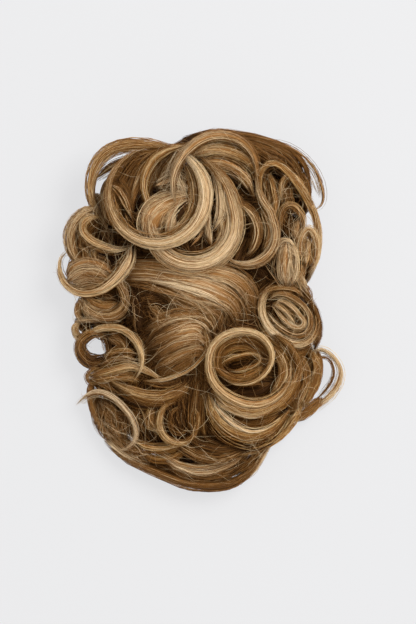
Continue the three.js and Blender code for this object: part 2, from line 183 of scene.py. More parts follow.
# what the strands of every lock share, in mm unless it says otherwise
strandLook = {
    "thick": 0.28,           # across one strand of the surface
    "unevenThick": (0.7, 1.3),
    "ends": (0.2, 7),        # thickness at a strand's ends, and how it grows along the lock
    "perMm": 2.7,            # strands for each mm round a lock
    "fewest": 6,
    "sideShare": 0.6,        # a tall lock's sides carry fewer strands than its top
    "reachDown": 0.70,       # strands cover the lock this far down from its crest, half turns
    "clumpWidth": 1.35,      # strands gather in clumps about this wide
    "fewestClumps": 3,
    "clumpRoom": (0.1, 0.9),  # where in its own share of the way round a clump may lie
    "nearest": 0.35,         # how near to the middle line a clump may lie, share of the half width, squared
    "farthest": 1.12,        # how far from it, likewise
    "clumpSpread": 0.58,     # scatter of a clump's strands
    "gather": 0.4,           # how much closer they lie at the tip, share
    "gatherFrom": 0.6,
    "clumpWave": 0.20,       # wander of a clump, share of the half width
    "strandWave": 0.28,      # wander of a strand in its clump
    "stray": 1.5,            # wander of a flyaway
    "strayThin": 0.6,        # its thickness, share
    "flyaway": 0.15,         # share of strands that stray
    "twist": 0.3,            # turn of all the clumps about the lock, radians
    "clumpTwist": 0.25,      # turn of each clump beside that
    "root": 0.45,            # the lock's own width at its root and at its tip, shares
    "tip": 0.42,
    "rootShare": 0.2,        # how much of its length it takes to widen, and to slim again
    "tipShare": 0.3,
    "fray": 0.30,            # how far short of the tip a clump may end, share of the length
    "frayPower": 1.5,
    "lateRoot": 0.07,        # how late a strand may start and how early it may end in its clump
    "earlyTip": 0.05,
    "shortest": 0.5,         # a strand ends no sooner than this share of the length
    "degreesPerStep": 14,
    # painted light: a lock's crest is paler and its sides and underside darker, as if lit from above
    "crestPaintedLight": 0.18,           # how much paler the crest is than the sides
    "crestLightLevel": 0.45,      # sine of the angle that keeps the lock's own tone
    "grade": 0.06,           # how much paler the tip is than the root
    "mixed": 0.88,           # how far the strands differ in tone, share
    "clumpTone": 0.075,      # spread of tone between clumps, and between the strands of one
    "strandTone": 0.12,
    "strayTone": 0.08,
    "darkStrands": (0.16, -0.22),  # share of the strands, step in tone
    "paleStrands": (0.16, 0.16),
    "clumpWarm": 0.06,       # spread of warmth between clumps, and between the strands of one
    "strandWarm": 0.05,
    "core": 0.64,            # the core's share of the lock's section
    "coreSides": 12,
    "coreEnds": (0.1, 6),
    "coreFray": 0.25,        # share of the fray by which the core ends early
    # painted shade between the strands: the core is darker than the strands and less gold, as hair in shade
    # looks
    "corePaintedShade": -0.26,       # its tone beside the strands', and its warmth as a share of theirs
    "coreShadeWarm": 0.4,
    "combStretch": 0.045,    # streaks are this much shorter along the lock in the pattern's own space
    "combApart": 41.7,       # locks lie this far apart there
}

# a wisp of a few hairs, and hair that lies loose and crosses itself
thinLook = {
    "perMm": 1.4,
    "fewest": 3,
    "thick": 0.20,
    "clumpWidth": 1.2,
    "clumpSpread": 0.7,
    "flyaway": 0.35,
    "stray": 1.3,
    "core": 0.06,
    "fray": 0.3,
}
looseLook = {
    "perMm": 1.1,
    "thick": 0.40,
    "clumpWidth": 1.6,
    "clumpSpread": 1.0,
    "clumpWave": 0.45,
    "stray": 3.0,
    "flyaway": 0.45,
    "core": 0.35,
    "twist": 1.2,
}

# hair down in a hollow; the rows that use it have low tones, painted shade of the hollow
hollowLook = {
    "perMm": 2.3,
    "thick": 0.36,
    "clumpSpread": 0.9,
    "clumpWave": 0.4,
    "stray": 2.2,
    "flyaway": 0.35,
    "core": 0.42,
    "twist": 1.0,
    "mixed": 0.5,
}

# the locks of the outline lie closer
neatLook = {
    "flyaway": 0.05,
    "stray": 0.8,
    "farthest": 0.95,
    # little painted light on the crest
    "crestPaintedLight": 0.05,
    "clumpSpread": 0.3,
    "clumpWave": 0.14,
    "fray": 0.14,
    "mixed": 0.6,
}

# a matted net of single hairs
netLook = {
    "perMm": 1.9,
    "thick": 0.20,
    "clumpWidth": 1.0,
    "clumpSpread": 2.0,
    "stray": 5.5,
    "flyaway": 1.0,
    "core": 0.1,
    "degreesPerStep": 5,
}

# the fainter turn of a low lock that lies below it
lowerTurn = {
    "tallest": 11,           # a taller lock already reaches down
    "aside": 0.8,            # shift to its right
    "drop": 5.5,
    # painted shade: the turn lies under its lock, so its tone is lower
    "underShade": -0.15,            # change of tone
    "strands": 0.36,         # share of the strands
    "times": 1.2,            # its width, times that of the lock and then mm more
    "wider": 1.2,
    "thick": 0.55,
    "degreesPerStep": 15,
    "combStep": 0.355,       # its place in the pattern, between two locks
}

# how finely a lock's middle line is drawn and smoothed, in samples
lineLook = {
    "perArc": 121,
    "perSpan": 24,
    "samples": 241,
    "flatWindow": 17,        # smoothing over the joins in plan, and of the heights and sizes
    "riseWindow": 41,
    "rings": (9, 40),        # fewest and most steps along a lock
    "evenShare": 0.35,       # share of the ring spacing that is even; the rest follows the turning
    "lowest": 2.5,           # mm above the table
}


# one row of a lock table. A bend is x, y, first and last radius, from and to in degrees; z, wide and
# tall are one value or several along the lock; tone runs from 0 dark to 1 pale, warm from ash to gold
def lock(bends, z, wide, tall, tone, warm, **more):
    return dict(bends=bends, z=z, wide=wide, tall=tall, tone=tone, warm=warm, **more)


# one row of a lock laid through points x, y, z
def strip(points, wide, tall, tone, warm, **more):
    return dict(points=points, wide=wide, tall=tall, tone=tone, warm=warm, **more)


# such a row with no turn below it, and those with a look of their own
single = partial(strip, alone=True)
thin = partial(single, look=thinLook)
loose = partial(single, look=looseLook)
hollow = partial(single, look=hollowLook)
neat = partial(single, look=neatLook)
net = partial(single, look=netLook)


# arcs laid end to end, x + r cos a and y + r sin a, with the heights read along them
def arcLine(row):
    legs = []
    for x, y, r0, r1, a0, a1 in row["bends"]:
        t = np.linspace(0, 1, lineLook["perArc"])
        angle = np.radians(a0 + (a1 - a0) * t)
        radius = r0 + (r1 - r0) * t
        legs.append(np.stack([x + radius * np.cos(angle), y + radius * np.sin(angle)], 1))
    flat = np.concatenate(legs)
    run = runAlong(flat)
    return np.column_stack([flat, spread(row["z"], run / run[-1])])


# a smooth line through points: between b and c, with a before and d after, the cubic whose slopes at b
# and c are (c - a) / 2 and (d - b) / 2
def pointLine(row):
    p = np.asarray(row["points"], float)
    p = np.vstack([2 * p[0] - p[1], p, 2 * p[-1] - p[-2]])
    a, b, c, d = p[:-3], p[1:-2], p[2:-1], p[3:]
    t = np.linspace(0, 1, lineLook["perSpan"], endpoint=False)[:, None, None]
    bent = (2 * a - 5 * b + 4 * c - d) * t ** 2 + (3 * b - a - 3 * c + d) * t ** 3
    curve = b + ((c - a) * t + bent) / 2
    return np.vstack([curve.transpose(1, 0, 2).reshape(-1, 3), p[-2:-1]])


# the way from a flat line's first point to each of its points
def runAlong(flat):
    return np.concatenate([[0], np.cumsum(np.linalg.norm(np.diff(flat, axis=0), axis=1))])


# a lock's middle line, spaced evenly and smoothed over its joins, with how far it has turned and its length
def middleLine(row):
    line = pointLine(row) if "points" in row else arcLine(row)
    run = runAlong(line[:, :2])
    share = np.linspace(0, 1, lineLook["samples"])
    line = np.stack([np.interp(share * run[-1], run, column) for column in line.T], 1)
    flat = smoothed(line[:, :2], lineLook["flatWindow"])
    line = np.column_stack([flat, smoothed(line[:, 2], lineLook["riseWindow"])])
    heading = np.unwrap(np.arctan2(*np.gradient(line[:, :2], axis=0).T[::-1]))
    turned = np.concatenate([[0], np.cumsum(np.abs(np.diff(heading)))])
    return share, line, turned, run[-1]


# shares along a lock where its rings stand: closer together where it turns faster
def ringShares(share, turned, degreesPerStep):
    steps = int(np.clip(np.degrees(turned[-1]) / degreesPerStep, *lineLook["rings"]))
    even = lineLook["evenShare"]
    mixed = even * share + (1 - even) * turned / max(turned[-1], 1e-6)
    return np.interp(np.linspace(0, 1, steps + 1), mixed, share)


# a lock slims towards its root and its tip
def slimming(share, look):
    root = look["root"] + (1 - look["root"]) * softStep(share, 0, look["rootShare"])
    tip = look["tip"] + (1 - look["tip"]) * softStep(1 - share, 0, look["tipShare"])
    return root * tip


# a lock's frame: a function that reads its middle line, the ways across it and up and half its width and
# height at any shares along it, with the shares of its rings, the way round it and its length
def lockFrame(row, look):
    share, line, turned, length = middleLine(row)
    wide = smoothed(spread(row["wide"], share), lineLook["riseWindow"])
    tall = smoothed(spread(row["tall"], share), lineLook["riseWindow"])
    forward = unit(np.gradient(line, axis=0))
    side = unit(np.cross(forward, upright))
    up = np.cross(side, forward)
    line = line + side * row.get("aside", 0)
    line[:, 2] = np.maximum(line[:, 2] - row.get("drop", 0), lineLook["lowest"])
    table = np.column_stack([line, side, up, wide, tall])

    # every column of the table read between its samples
    def frameAt(at):
        read = np.stack([np.interp(at, share, column) for column in table.T], -1)
        half = read[..., 9:] * slimming(at, look)[..., None] / 2
        return read[..., 0:3], read[..., 3:6], read[..., 6:9], half[..., 0], half[..., 1]

    rings = ringShares(share, turned, look["degreesPerStep"])
    around = np.pi * (wide.mean() + look["sideShare"] * tall.mean()) / 2
    return dict(frameAt=frameAt, rings=rings, around=around, length=length)


# the lock's tone along it, paler towards the tip by its grade, with painted light on the crest of its
# section and painted shade on its sides and underside
def toneAndPaintedLight(row, look, at, angle):
    graded = spread(row["tone"], at) + row.get("grade", look["grade"]) * (at - 0.5)
    return graded + look["crestPaintedLight"] * (np.sin(angle) - look["crestLightLevel"])


# the strands of one lock. Each clump keeps a place in the oval section, turns slowly about the middle line
# and wanders; each strand keeps a place in its clump: line + side (a wide / 2 + s) + up (b tall / 2 + t)
def lockStrands(row, look, rng, number, shape):
    count = max(look["fewest"], int(shape["around"] * look["perMm"]))
    clumps = max(look["fewestClumps"], int(round(shape["around"] / look["clumpWidth"])))
    each = (count, 1)
    mine = rng.integers(0, clumps, count)
    stray = rng.random(each) < look["flyaway"]
    place = (np.arange(clumps) + rng.uniform(*look["clumpRoom"], clumps)) / clumps
    clumpAngle = np.pi / 2 + np.pi * look["reachDown"] * (2 * place - 1)
    clumpDepth = np.sqrt(rng.uniform(look["nearest"], look["farthest"], clumps))
    clumpTone = rng.normal(0, look["clumpTone"], clumps)
    clumpLast = 1 - look["fray"] * rng.random(clumps) ** look["frayPower"]
    first = rng.uniform(0, look["lateRoot"], each)
    last = clumpLast[mine][:, None] - rng.uniform(0, look["earlyTip"], each)
    last = np.clip(last, look["shortest"], 1)
    at = first + (last - first) * shape["rings"][None]
    twist = look["twist"] * rng.normal(0, 1) + rng.normal(0, look["clumpTwist"], clumps)
    angle = clumpAngle[mine][:, None] + twist[mine][:, None] * (at - 0.5)
    depth = clumpDepth[mine][:, None]
    a = depth * np.cos(angle) + look["clumpWave"] * wander(rng, at, mine, clumps)
    b = depth * np.sin(angle) + look["clumpWave"] * wander(rng, at, mine, clumps)
    middle, across, upward, halfWide, halfTall = shape["frameAt"](at)
    gather = 1 - look["gather"] * softStep(at, look["gatherFrom"], 1.0)
    wave = np.where(stray, look["stray"], look["strandWave"])
    a = a * halfWide + gather * rng.normal(0, look["clumpSpread"], each) + wave * wander(rng, at)
    b = b * halfTall + gather * rng.normal(0, look["clumpSpread"], each) + wave * wander(rng, at)
    paths = middle + across * a[..., None] + upward * b[..., None]
    thick = look["thick"] / 2 * rng.uniform(*look["unevenThick"], each)
    thick = thick * np.where(stray, look["strayThin"], 1.0)
    ends = taper(np.minimum(at - first, last - at), *look["ends"])
    own = clumpTone[mine][:, None] + rng.normal(0, look["strandTone"], each) + look["strayTone"] * stray
    for part, step in (look["darkStrands"], look["paleStrands"]):
        own = own + np.where(rng.random(each) < part, step, 0)
    # the lock's tone, with painted light on the crest and painted shade on the sides
    tone = toneAndPaintedLight(row, look, at, angle) + look["mixed"] * own
    clumpWarm = rng.normal(0, look["clumpWarm"], (clumps, 1))
    warm = np.clip(row["warm"] + clumpWarm[mine] + rng.normal(0, look["strandWarm"], each), 0, 1)
    run = at * shape["length"] * look["combStretch"]
    comb = np.stack([a + look["combApart"] * number, b, run], -1)
    return strandBatch(paths, upright, thick * ends, tone, warm[..., None], comb)


# the core that shows between the strands: an oval of corners across each ring, side a + up b; its lower
# tone and weaker gold are painted shade between the strands
def lockCore(row, look, number, shape):
    rings = shape["rings"]
    turn = 2 * np.pi * np.arange(look["coreSides"]) / look["coreSides"] + np.pi / 2
    middle, across, upward, halfWide, halfTall = shape["frameAt"](rings)
    left = np.maximum(1 - look["fray"] * look["coreFray"] - rings, 0)
    slim = look["core"] * taper(np.minimum(rings, left), *look["coreEnds"])
    a = (slim * halfWide)[:, None] * np.cos(turn)
    b = (slim * halfTall)[:, None] * np.sin(turn)
    corners = middle[:, None] + across[:, None] * a[..., None] + upward[:, None] * b[..., None]
    run = np.broadcast_to((rings * shape["length"] * look["combStretch"])[:, None], a.shape)
    comb = np.stack([a + look["combApart"] * number, b, run], -1)
    tone = toneAndPaintedLight(row, look, rings[:, None], turn) + look["corePaintedShade"]
    return corners[None], tone[None], look["coreShadeWarm"] * row["warm"], comb[None]


# the strands and the core of one lock
def lockHair(row, rng, number):
    look = {**strandLook, **row.get("look", {})}
    shape = lockFrame(row, look)
    return [lockStrands(row, look, rng, number, shape), lockCore(row, look, number, shape)]


# a lock and, under a low one, its fainter turn with fewer and thicker strands
def lockWithTurn(row, rng, number):
    batches = lockHair(row, rng, number)
    if row.get("alone") or np.mean(row["tall"]) >= lowerTurn["tallest"]:
        return batches
    under = {
        **row,
        "aside": lowerTurn["aside"],
        "drop": lowerTurn["drop"],
        "wide": np.asarray(row["wide"], float) * lowerTurn["times"] + lowerTurn["wider"],
        # painted shade: the turn below is darker
        "tone": np.asarray(row["tone"], float) + lowerTurn["underShade"],
        "look": {
            **row.get("look", {}),
            "perMm": strandLook["perMm"] * lowerTurn["strands"],
            "thick": lowerTurn["thick"],
            "degreesPerStep": lowerTurn["degreesPerStep"],
        },
    }
    return batches + lockHair(under, rng, number + lowerTurn["combStep"])


# what the mounds under the locks share
moundLook = {
    "thick": 0.8,
    "unevenThick": (0.7, 1.3),
    "ends": (0.25, 3),
    "steps": 13,
    "edge": 0.97,            # sine of the angle across it that the strands keep to
    "wave": 0.09,
    "reach": (0.8, 1.6),     # how far over the top a strand goes each way, radians
    "shift": 0.25,
    "lift": (-0.01, 0.035),  # share of the ball's size
    "toneSpread": 0.11,
    "warm": 0.5,
    "core": 0.955,           # the smooth ball's size beside the strands'
    # painted shade: the smooth ball under the strands is darker than they are
    "corePaintedShade": -0.10,
    "coreSides": 28,
    "coreRings": 13,
    "poleGap": 0.02,         # its end faces stand this far from the poles, radians
    "combPlace": 7.7,
    "combStretch": 0.05,
    "coreStretch": 2,
}


# a mound under the locks with hair combed across it: half circles over an oval ball, side by side,
# wide / 2 cos v sin u along it, long / 2 sin v across it and tall / 2 cos v cos u up
def combedMound(mound, rng):
    look = moundLook
    half = np.array([mound["wide"], mound["long"], mound["tall"]]) / 2
    middle = np.array([mound["x"], mound["y"], mound["z"]])
    each = (mound["strands"], 1)
    t = np.linspace(-1, 1, look["steps"])[None]
    v = np.arcsin(rng.uniform(-look["edge"], look["edge"], each))
    v = v + look["wave"] * wander(rng, np.repeat(t, len(v), 0))
    u = t * rng.uniform(*look["reach"], each) + rng.normal(0, look["shift"], each)
    out = np.stack([np.cos(v) * np.sin(u), np.sin(v), np.cos(v) * np.cos(u)], -1)
    paths = middle + out * (half * (1.0 + rng.uniform(*look["lift"], (*each, 1))))
    ends = taper(1 - np.abs(t), *look["ends"])
    radius = look["thick"] / 2 * rng.uniform(*look["unevenThick"], each) * ends
    # painted shade: the mounds lie under the locks, and the tables give their hair a dark tone
    tone = mound["tone"] + rng.normal(0, look["toneSpread"], each) + 0 * t
    size = half.max()
    comb = np.stack([v * size, 0 * v + look["combPlace"], u * size * look["combStretch"]], -1)
    strands = strandBatch(paths, unit(out / half), radius, tone, look["warm"], comb)

    # the smooth ball under them, darker than its strands: painted shade
    u = np.linspace(look["poleGap"], np.pi - look["poleGap"], look["coreRings"])[None, :, None]
    q = -2 * np.pi * np.arange(look["coreSides"])[None, None, :] / look["coreSides"]
    out = np.stack([np.sin(u) * np.cos(q), np.sin(u) * np.sin(q), np.cos(u) + 0 * q], -1)
    flat = np.full_like(out[..., 0], look["combPlace"])
    comb = np.stack([np.arcsin(out[..., 1]) * size, flat, out[..., 0] * look["coreStretch"]], -1)
    tone = np.full((1, 1, 1), mound["tone"] + look["corePaintedShade"])
    return [strands, (middle + out * half * look["core"], tone, look["warm"], comb)]


# one section's locks and its mound as one piece, in place of the section's solid
def sectionHair(section, material):
    rng = np.random.default_rng(section["seed"])
    batches = []
    for number, row in enumerate(section["locks"]):
        batches += lockWithTurn(row, rng, number + 1)
    batches += combedMound(section["mound"], rng)
    piece = hairObject(section["node"] + "_hair", batches, material)
    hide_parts(section["node"])


# Materials

# a new material and its surface shader
def newMaterial(name):
    material = bpy.data.materials.new(name)
    material.use_nodes = True
    return material, material.node_tree.nodes["Principled BSDF"]


# relief from a height that runs from 0 to 1, as deep as the look says, in metres
def addBump(material, shader, height, look):
    nodes, links = material.node_tree.nodes, material.node_tree.links
    bump = nodes.new("ShaderNodeBump")
    bump.inputs["Strength"].default_value = look["bump"]
    bump.inputs["Distance"].default_value = look["bumpDeep"]
    links.new(height, bump.inputs["Height"])
    links.new(bump.outputs["Normal"], shader.inputs["Normal"])


hairLook = {
    "dark": (0.028, 0.0110, 0.0032, 1),
    "mid": (0.274, 0.134, 0.045, 1),
    "pale": (0.85, 0.695, 0.47, 1),
    "gold": (1.0, 0.81, 0.43, 1),
    "midTone": 0.5,          # the tones at which the mid and the pale colour are reached
    "paleTone": 0.95,
    "ash": (1.2, 0.62),      # the palest hair is ash: tones where the gold ends and where it is full
    "fine": (2.6, 2.0),      # noise between strands and over whole stretches: scale, detail
    "slow": (0.35, 1.0),
    "streak": 0.8,           # what each of them does to the tone
    "patch": 0.25,
    "rough": (0.26, 0.22),   # roughness, and what the fine noise adds
    "hollow": 0.35,          # hair darker than this does not shine
    "dull": 0.4,
    "bump": 0.25,
    "bumpDeep": 0.0003,
    "gloss": 0.12,
    "glossTint": (1.0, 0.80, 0.55, 1),
}


# shader group for combed hair: a noise drawn out along the strands moves each strand's tone up and down,
# a slower one shades whole stretches, the tone picks a colour from dark through mid to pale, and the
# warmth tints it gold
def combedHairGroup(look):
    group = bpy.data.node_groups.new("combedHair", "ShaderNodeTree")
    for title, kind in (("Comb", "Vector"), ("Tone", "Float"), ("Warmth", "Float"), ("Streak", "Float"),
                        ("Dark", "Color"), ("Mid", "Color"), ("Pale", "Color"), ("Gold", "Color")):
        group.interface.new_socket(title, in_out="INPUT", socket_type="NodeSocket" + kind)
    for title, kind in (("Color", "Color"), ("Roughness", "Float"), ("Height", "Float")):
        group.interface.new_socket(title, in_out="OUTPUT", socket_type="NodeSocket" + kind)
    nodes, links = group.nodes, group.links
    given = nodes.new("NodeGroupInput").outputs
    made = nodes.new("NodeGroupOutput").inputs

    # noise read at the combed-out place
    def noise(scale, detail):
        node = nodes.new("ShaderNodeTexNoise")
        node.inputs["Scale"].default_value = scale
        node.inputs["Detail"].default_value = detail
        links.new(given["Comb"], node.inputs["Vector"])
        return node.outputs["Fac"]

    # sum, difference or product of two, each a number or a socket
    def math(operation, first, second):
        node = nodes.new("ShaderNodeMath")
        node.operation = operation
        for socket, value in zip(node.inputs, (first, second)):
            if isinstance(value, (int, float)):
                socket.default_value = value
            else:
                links.new(value, socket)
        return node.outputs[0]

    # how far a value has come from low to high, 0 to 1
    def between(value, low, high):
        node = nodes.new("ShaderNodeMapRange")
        node.inputs["From Min"].default_value = low
        node.inputs["From Max"].default_value = high
        links.new(value, node.inputs["Value"])
        return node.outputs["Result"]

    # the mix node has several sockets of one name, so its colour ones are picked by their place
    def mix(share, first, second, blend="MIX"):
        node = nodes.new("ShaderNodeMix")
        node.data_type = "RGBA"
        node.blend_type = blend
        links.new(share, node.inputs[0])
        links.new(first, node.inputs[6])
        links.new(second, node.inputs[7])
        return node.outputs[2]

    fine = noise(*look["fine"])
    slow = noise(*look["slow"])
    streak = math("MULTIPLY", math("SUBTRACT", fine, 0.5), given["Streak"])
    patch = math("MULTIPLY", math("SUBTRACT", slow, 0.5), look["patch"])
    tone = math("ADD", given["Tone"], math("ADD", streak, patch))
    lower = mix(between(tone, 0.0, look["midTone"]), given["Dark"], given["Mid"])
    color = mix(between(tone, look["midTone"], look["paleTone"]), lower, given["Pale"])
    golden = math("MULTIPLY", given["Warmth"], between(tone, *look["ash"]))
    links.new(mix(golden, color, given["Gold"], "MULTIPLY"), made["Color"])
    least, more = look["rough"]
    dull = math("MULTIPLY", between(tone, look["hollow"], 0.0), look["dull"])
    rough = math("ADD", math("MULTIPLY", fine, more), least)
    links.new(math("ADD", rough, dull), made["Roughness"])
    links.new(fine, made["Height"])
    return group


# hair: the group's colour, roughness and relief, read from each strand's own tone, warmth and comb place
def hairMaterial(name, look):
    material, shader = newMaterial(name)
    nodes, links = material.node_tree.nodes, material.node_tree.links
    hair = nodes.new("ShaderNodeGroup")
    hair.node_tree = combedHairGroup(look)
    for title in ("Streak", "Dark", "Mid", "Pale", "Gold"):
        hair.inputs[title].default_value = look[title.lower()]
    for title, output in (("Comb", "Vector"), ("Tone", "Fac"), ("Warmth", "Fac")):
        read = nodes.new("ShaderNodeAttribute")
        read.attribute_name = title.lower()
        links.new(read.outputs[output], hair.inputs[title])
    links.new(hair.outputs["Color"], shader.inputs["Base Color"])
    links.new(hair.outputs["Roughness"], shader.inputs["Roughness"])
    shader.inputs["Specular IOR Level"].default_value = look["gloss"]
    shader.inputs["Specular Tint"].default_value = look["glossTint"]
    addBump(material, shader, hair.outputs["Height"], look)
    return material


curlMaterial = hairMaterial("curled_hair", hairLook)


# The net base and the clips keep their own solids and get their finish here

capLook = {
    "gap": (0.016, 0.009, 0.006, 1),
    "thread": (0.070, 0.040, 0.024, 1),
    "scale": 105.0,          # threads about 3 mm apart
    "width": 0.72,           # the wave above this is thread
    "edge": 0.15,            # the thread's soft edge
    "rough": 0.85,
    "bump": 0.6,
    "bumpDeep": 0.0006,
}


# net: two sets of threads at right angles, each the crests of a sine along one direction, and the higher
# one is seen
def netMaterial(name, look):
    material, shader = newMaterial(name)
    nodes, links = material.node_tree.nodes, material.node_tree.links
    place = nodes.new("ShaderNodeTexCoord")
    turned = nodes.new("ShaderNodeMapping")
    turned.inputs["Rotation"].default_value = (0, 0, np.pi / 4)
    links.new(place.outputs["Object"], turned.inputs["Vector"])
    crests = nodes.new("ShaderNodeMath")
    crests.operation = "MAXIMUM"
    for number, direction in enumerate(("X", "Y")):
        wave = nodes.new("ShaderNodeTexWave")
        wave.bands_direction = direction
        wave.inputs["Scale"].default_value = look["scale"]
        links.new(turned.outputs["Vector"], wave.inputs["Vector"])
        links.new(wave.outputs["Fac"], crests.inputs[number])
    thread = nodes.new("ShaderNodeMapRange")
    thread.inputs["From Min"].default_value = look["width"]
    thread.inputs["From Max"].default_value = look["width"] + look["edge"]
    links.new(crests.outputs[0], thread.inputs["Value"])
    color = nodes.new("ShaderNodeMix")
    color.data_type = "RGBA"
    color.inputs[6].default_value = look["gap"]
    color.inputs[7].default_value = look["thread"]
    links.new(thread.outputs["Result"], color.inputs[0])
    links.new(color.outputs[2], shader.inputs["Base Color"])
    shader.inputs["Roughness"].default_value = look["rough"]
    addBump(material, shader, thread.outputs["Result"], look)
    return material


clipLook = {
    "color": (0.060, 0.032, 0.018, 1),
    "metallic": 0.55,
    "roughness": 0.34,
    "coat": 0.4,
}


# lacquer: one colour, half metal, under a clear coat
def lacquerMaterial(name, look):
    material, shader = newMaterial(name)
    shader.inputs["Base Color"].default_value = look["color"]
    shader.inputs["Metallic"].default_value = look["metallic"]
    shader.inputs["Roughness"].default_value = look["roughness"]
    shader.inputs["Coat Weight"].default_value = look["coat"]
    return material


hairNet = netMaterial("hair_net", capLook)
clipLacquer = lacquerMaterial("clip_lacquer", clipLook)
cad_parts["cap_base"].material_slots[0].material = hairNet
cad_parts["clip_top"].material_slots[0].material = clipLacquer
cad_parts["clip_bottom"].material_slots[0].material = clipLacquer
print("the net base and the clips have their finish")


# The combed hair that covers the net base, under the curls

underHair = {
    "seed": 3,
    # reach of its edge from the middle every 20 degrees from +X
    "reach": [72, 70, 78, 98, 106, 98, 92, 84, 78, 70, 60, 86, 98, 106, 110, 96, 88, 77],
    "share": [0.0, 0.06, 0.5, 0.8, 0.96, 1.0],
    "height": [34, 34, 31, 22, 11, 0.4],
    "baseHalf": (56.7, 76.7),  # half width and length of the room for the base
    "baseRise": 20.5,
    "baseRim": 2.6,
    "strands": 520,
    "steps": 14,
    "thick": 0.6,
    "unevenThick": (0.7, 1.3),
    "ends": (0.25, 5),
    "from": (0.03, 0.75),    # shares of the reach where a strand may start, before the power
    "fromPower": 0.8,
    "to": (0.85, 1.0),       # how much of the rest of the way it goes
    "turn": (0.35, 0.25),    # how far it turns on its way, radians, and the spread of that
    "wave": 0.03,
    "lift": (0.2, 1.6),
    "lean": 1.2,             # rise of its outward side
    # painted shade: the layer lies under the curls, so its hair is dark
    "tone": 0.15,
    "toneSpread": 0.10,
    "warm": 0.5,
    "combRound": 60,         # the pattern's size round the layer and along it
    "combAlong": 5,
    "shellSides": 72,
    "shellTop": [*np.linspace(0.02, 0.9, 12), 0.96, 0.985],
    "shellBack": np.linspace(1.0, 0.02, 10),
    "shellDown": -0.4,       # the shell lies this far below the layer's surface
    "shellFoot": 0.3,
    # painted shade: the shell under the strands is darker still
    "shellPaintedShade": -0.14,
    "shellAlong": 8,
}


# the combed layer: radius share x reach(angle), height falling with the share; strands run outwards from
# the middle with a slow turn, over a shell that is open underneath for the base
def combedLayer(look, material):
    rng = np.random.default_rng(look["seed"])
    corner = np.linspace(0, 2 * np.pi, len(look["reach"]) + 1)
    closed = np.append(look["reach"], look["reach"][0])

    # a place on the layer, lifted off it
    def surface(angle, share, lift):
        reach = np.interp(np.mod(angle, 2 * np.pi), corner, closed)
        height = np.interp(share, look["share"], look["height"])
        return np.stack([share * reach * np.cos(angle), share * reach * np.sin(angle), height + lift], -1)

    each = (look["strands"], 1)
    t = np.linspace(0, 1, look["steps"])[None]
    start = rng.uniform(*look["from"], each) ** look["fromPower"]
    share = start + (1.0 - start) * np.minimum(t * rng.uniform(*look["to"], each), 1)
    angle = rng.uniform(0, 2 * np.pi, each) + rng.normal(*look["turn"], each) * t
    angle = angle + look["wave"] * wander(rng, np.repeat(t, len(angle), 0))
    paths = surface(angle, share, rng.uniform(*look["lift"], each))
    out = unit(np.stack([np.cos(angle), np.sin(angle), np.full_like(angle, look["lean"])], -1))
    ends = taper(np.minimum(t, 1 - t), *look["ends"])
    radius = look["thick"] / 2 * rng.uniform(*look["unevenThick"], each) * ends
    tone = look["tone"] + rng.normal(0, look["toneSpread"], each) + 0 * t
    comb = np.stack([angle * look["combRound"], share * 0, share * look["combAlong"]], -1)
    strands = strandBatch(paths, out, radius, tone, look["warm"], comb)

    # the shell: out over the top from a small ring, down to the table and back along the base's dome
    turn = -2 * np.pi * np.arange(look["shellSides"]) / look["shellSides"]
    shares = np.array(look["shellTop"])[:, None]
    top = surface(turn[None] + 0 * shares, shares + 0 * turn[None], look["shellDown"])
    halfWide, halfLong = look["baseHalf"]
    back = look["shellBack"][:, None]
    rise = look["baseRim"] + look["baseRise"] * (1 - back ** 2)
    dome = np.stack([halfWide * back * np.cos(turn), halfLong * back * np.sin(turn), rise + 0 * turn], -1)
    foot = dome[:1] * [1, 1, 0] + [0, 0, look["shellFoot"]]
    edge = top[-1:] * [1, 1, 0] + [0, 0, look["shellFoot"]]
    shell = np.concatenate([top, edge, foot, dome])
    along = np.linspace(0, look["shellAlong"], len(shell))[:, None] + 0 * turn
    comb = np.stack([turn * look["combRound"] + 0 * along, 0 * along, along], -1)
    tone = np.full((1, 1, 1), look["tone"] + look["shellPaintedShade"])
    hairObject("combed_layer", [strands, (shell[None], tone, look["warm"], comb[None])], material)


combedLayer(underHair, curlMaterial)
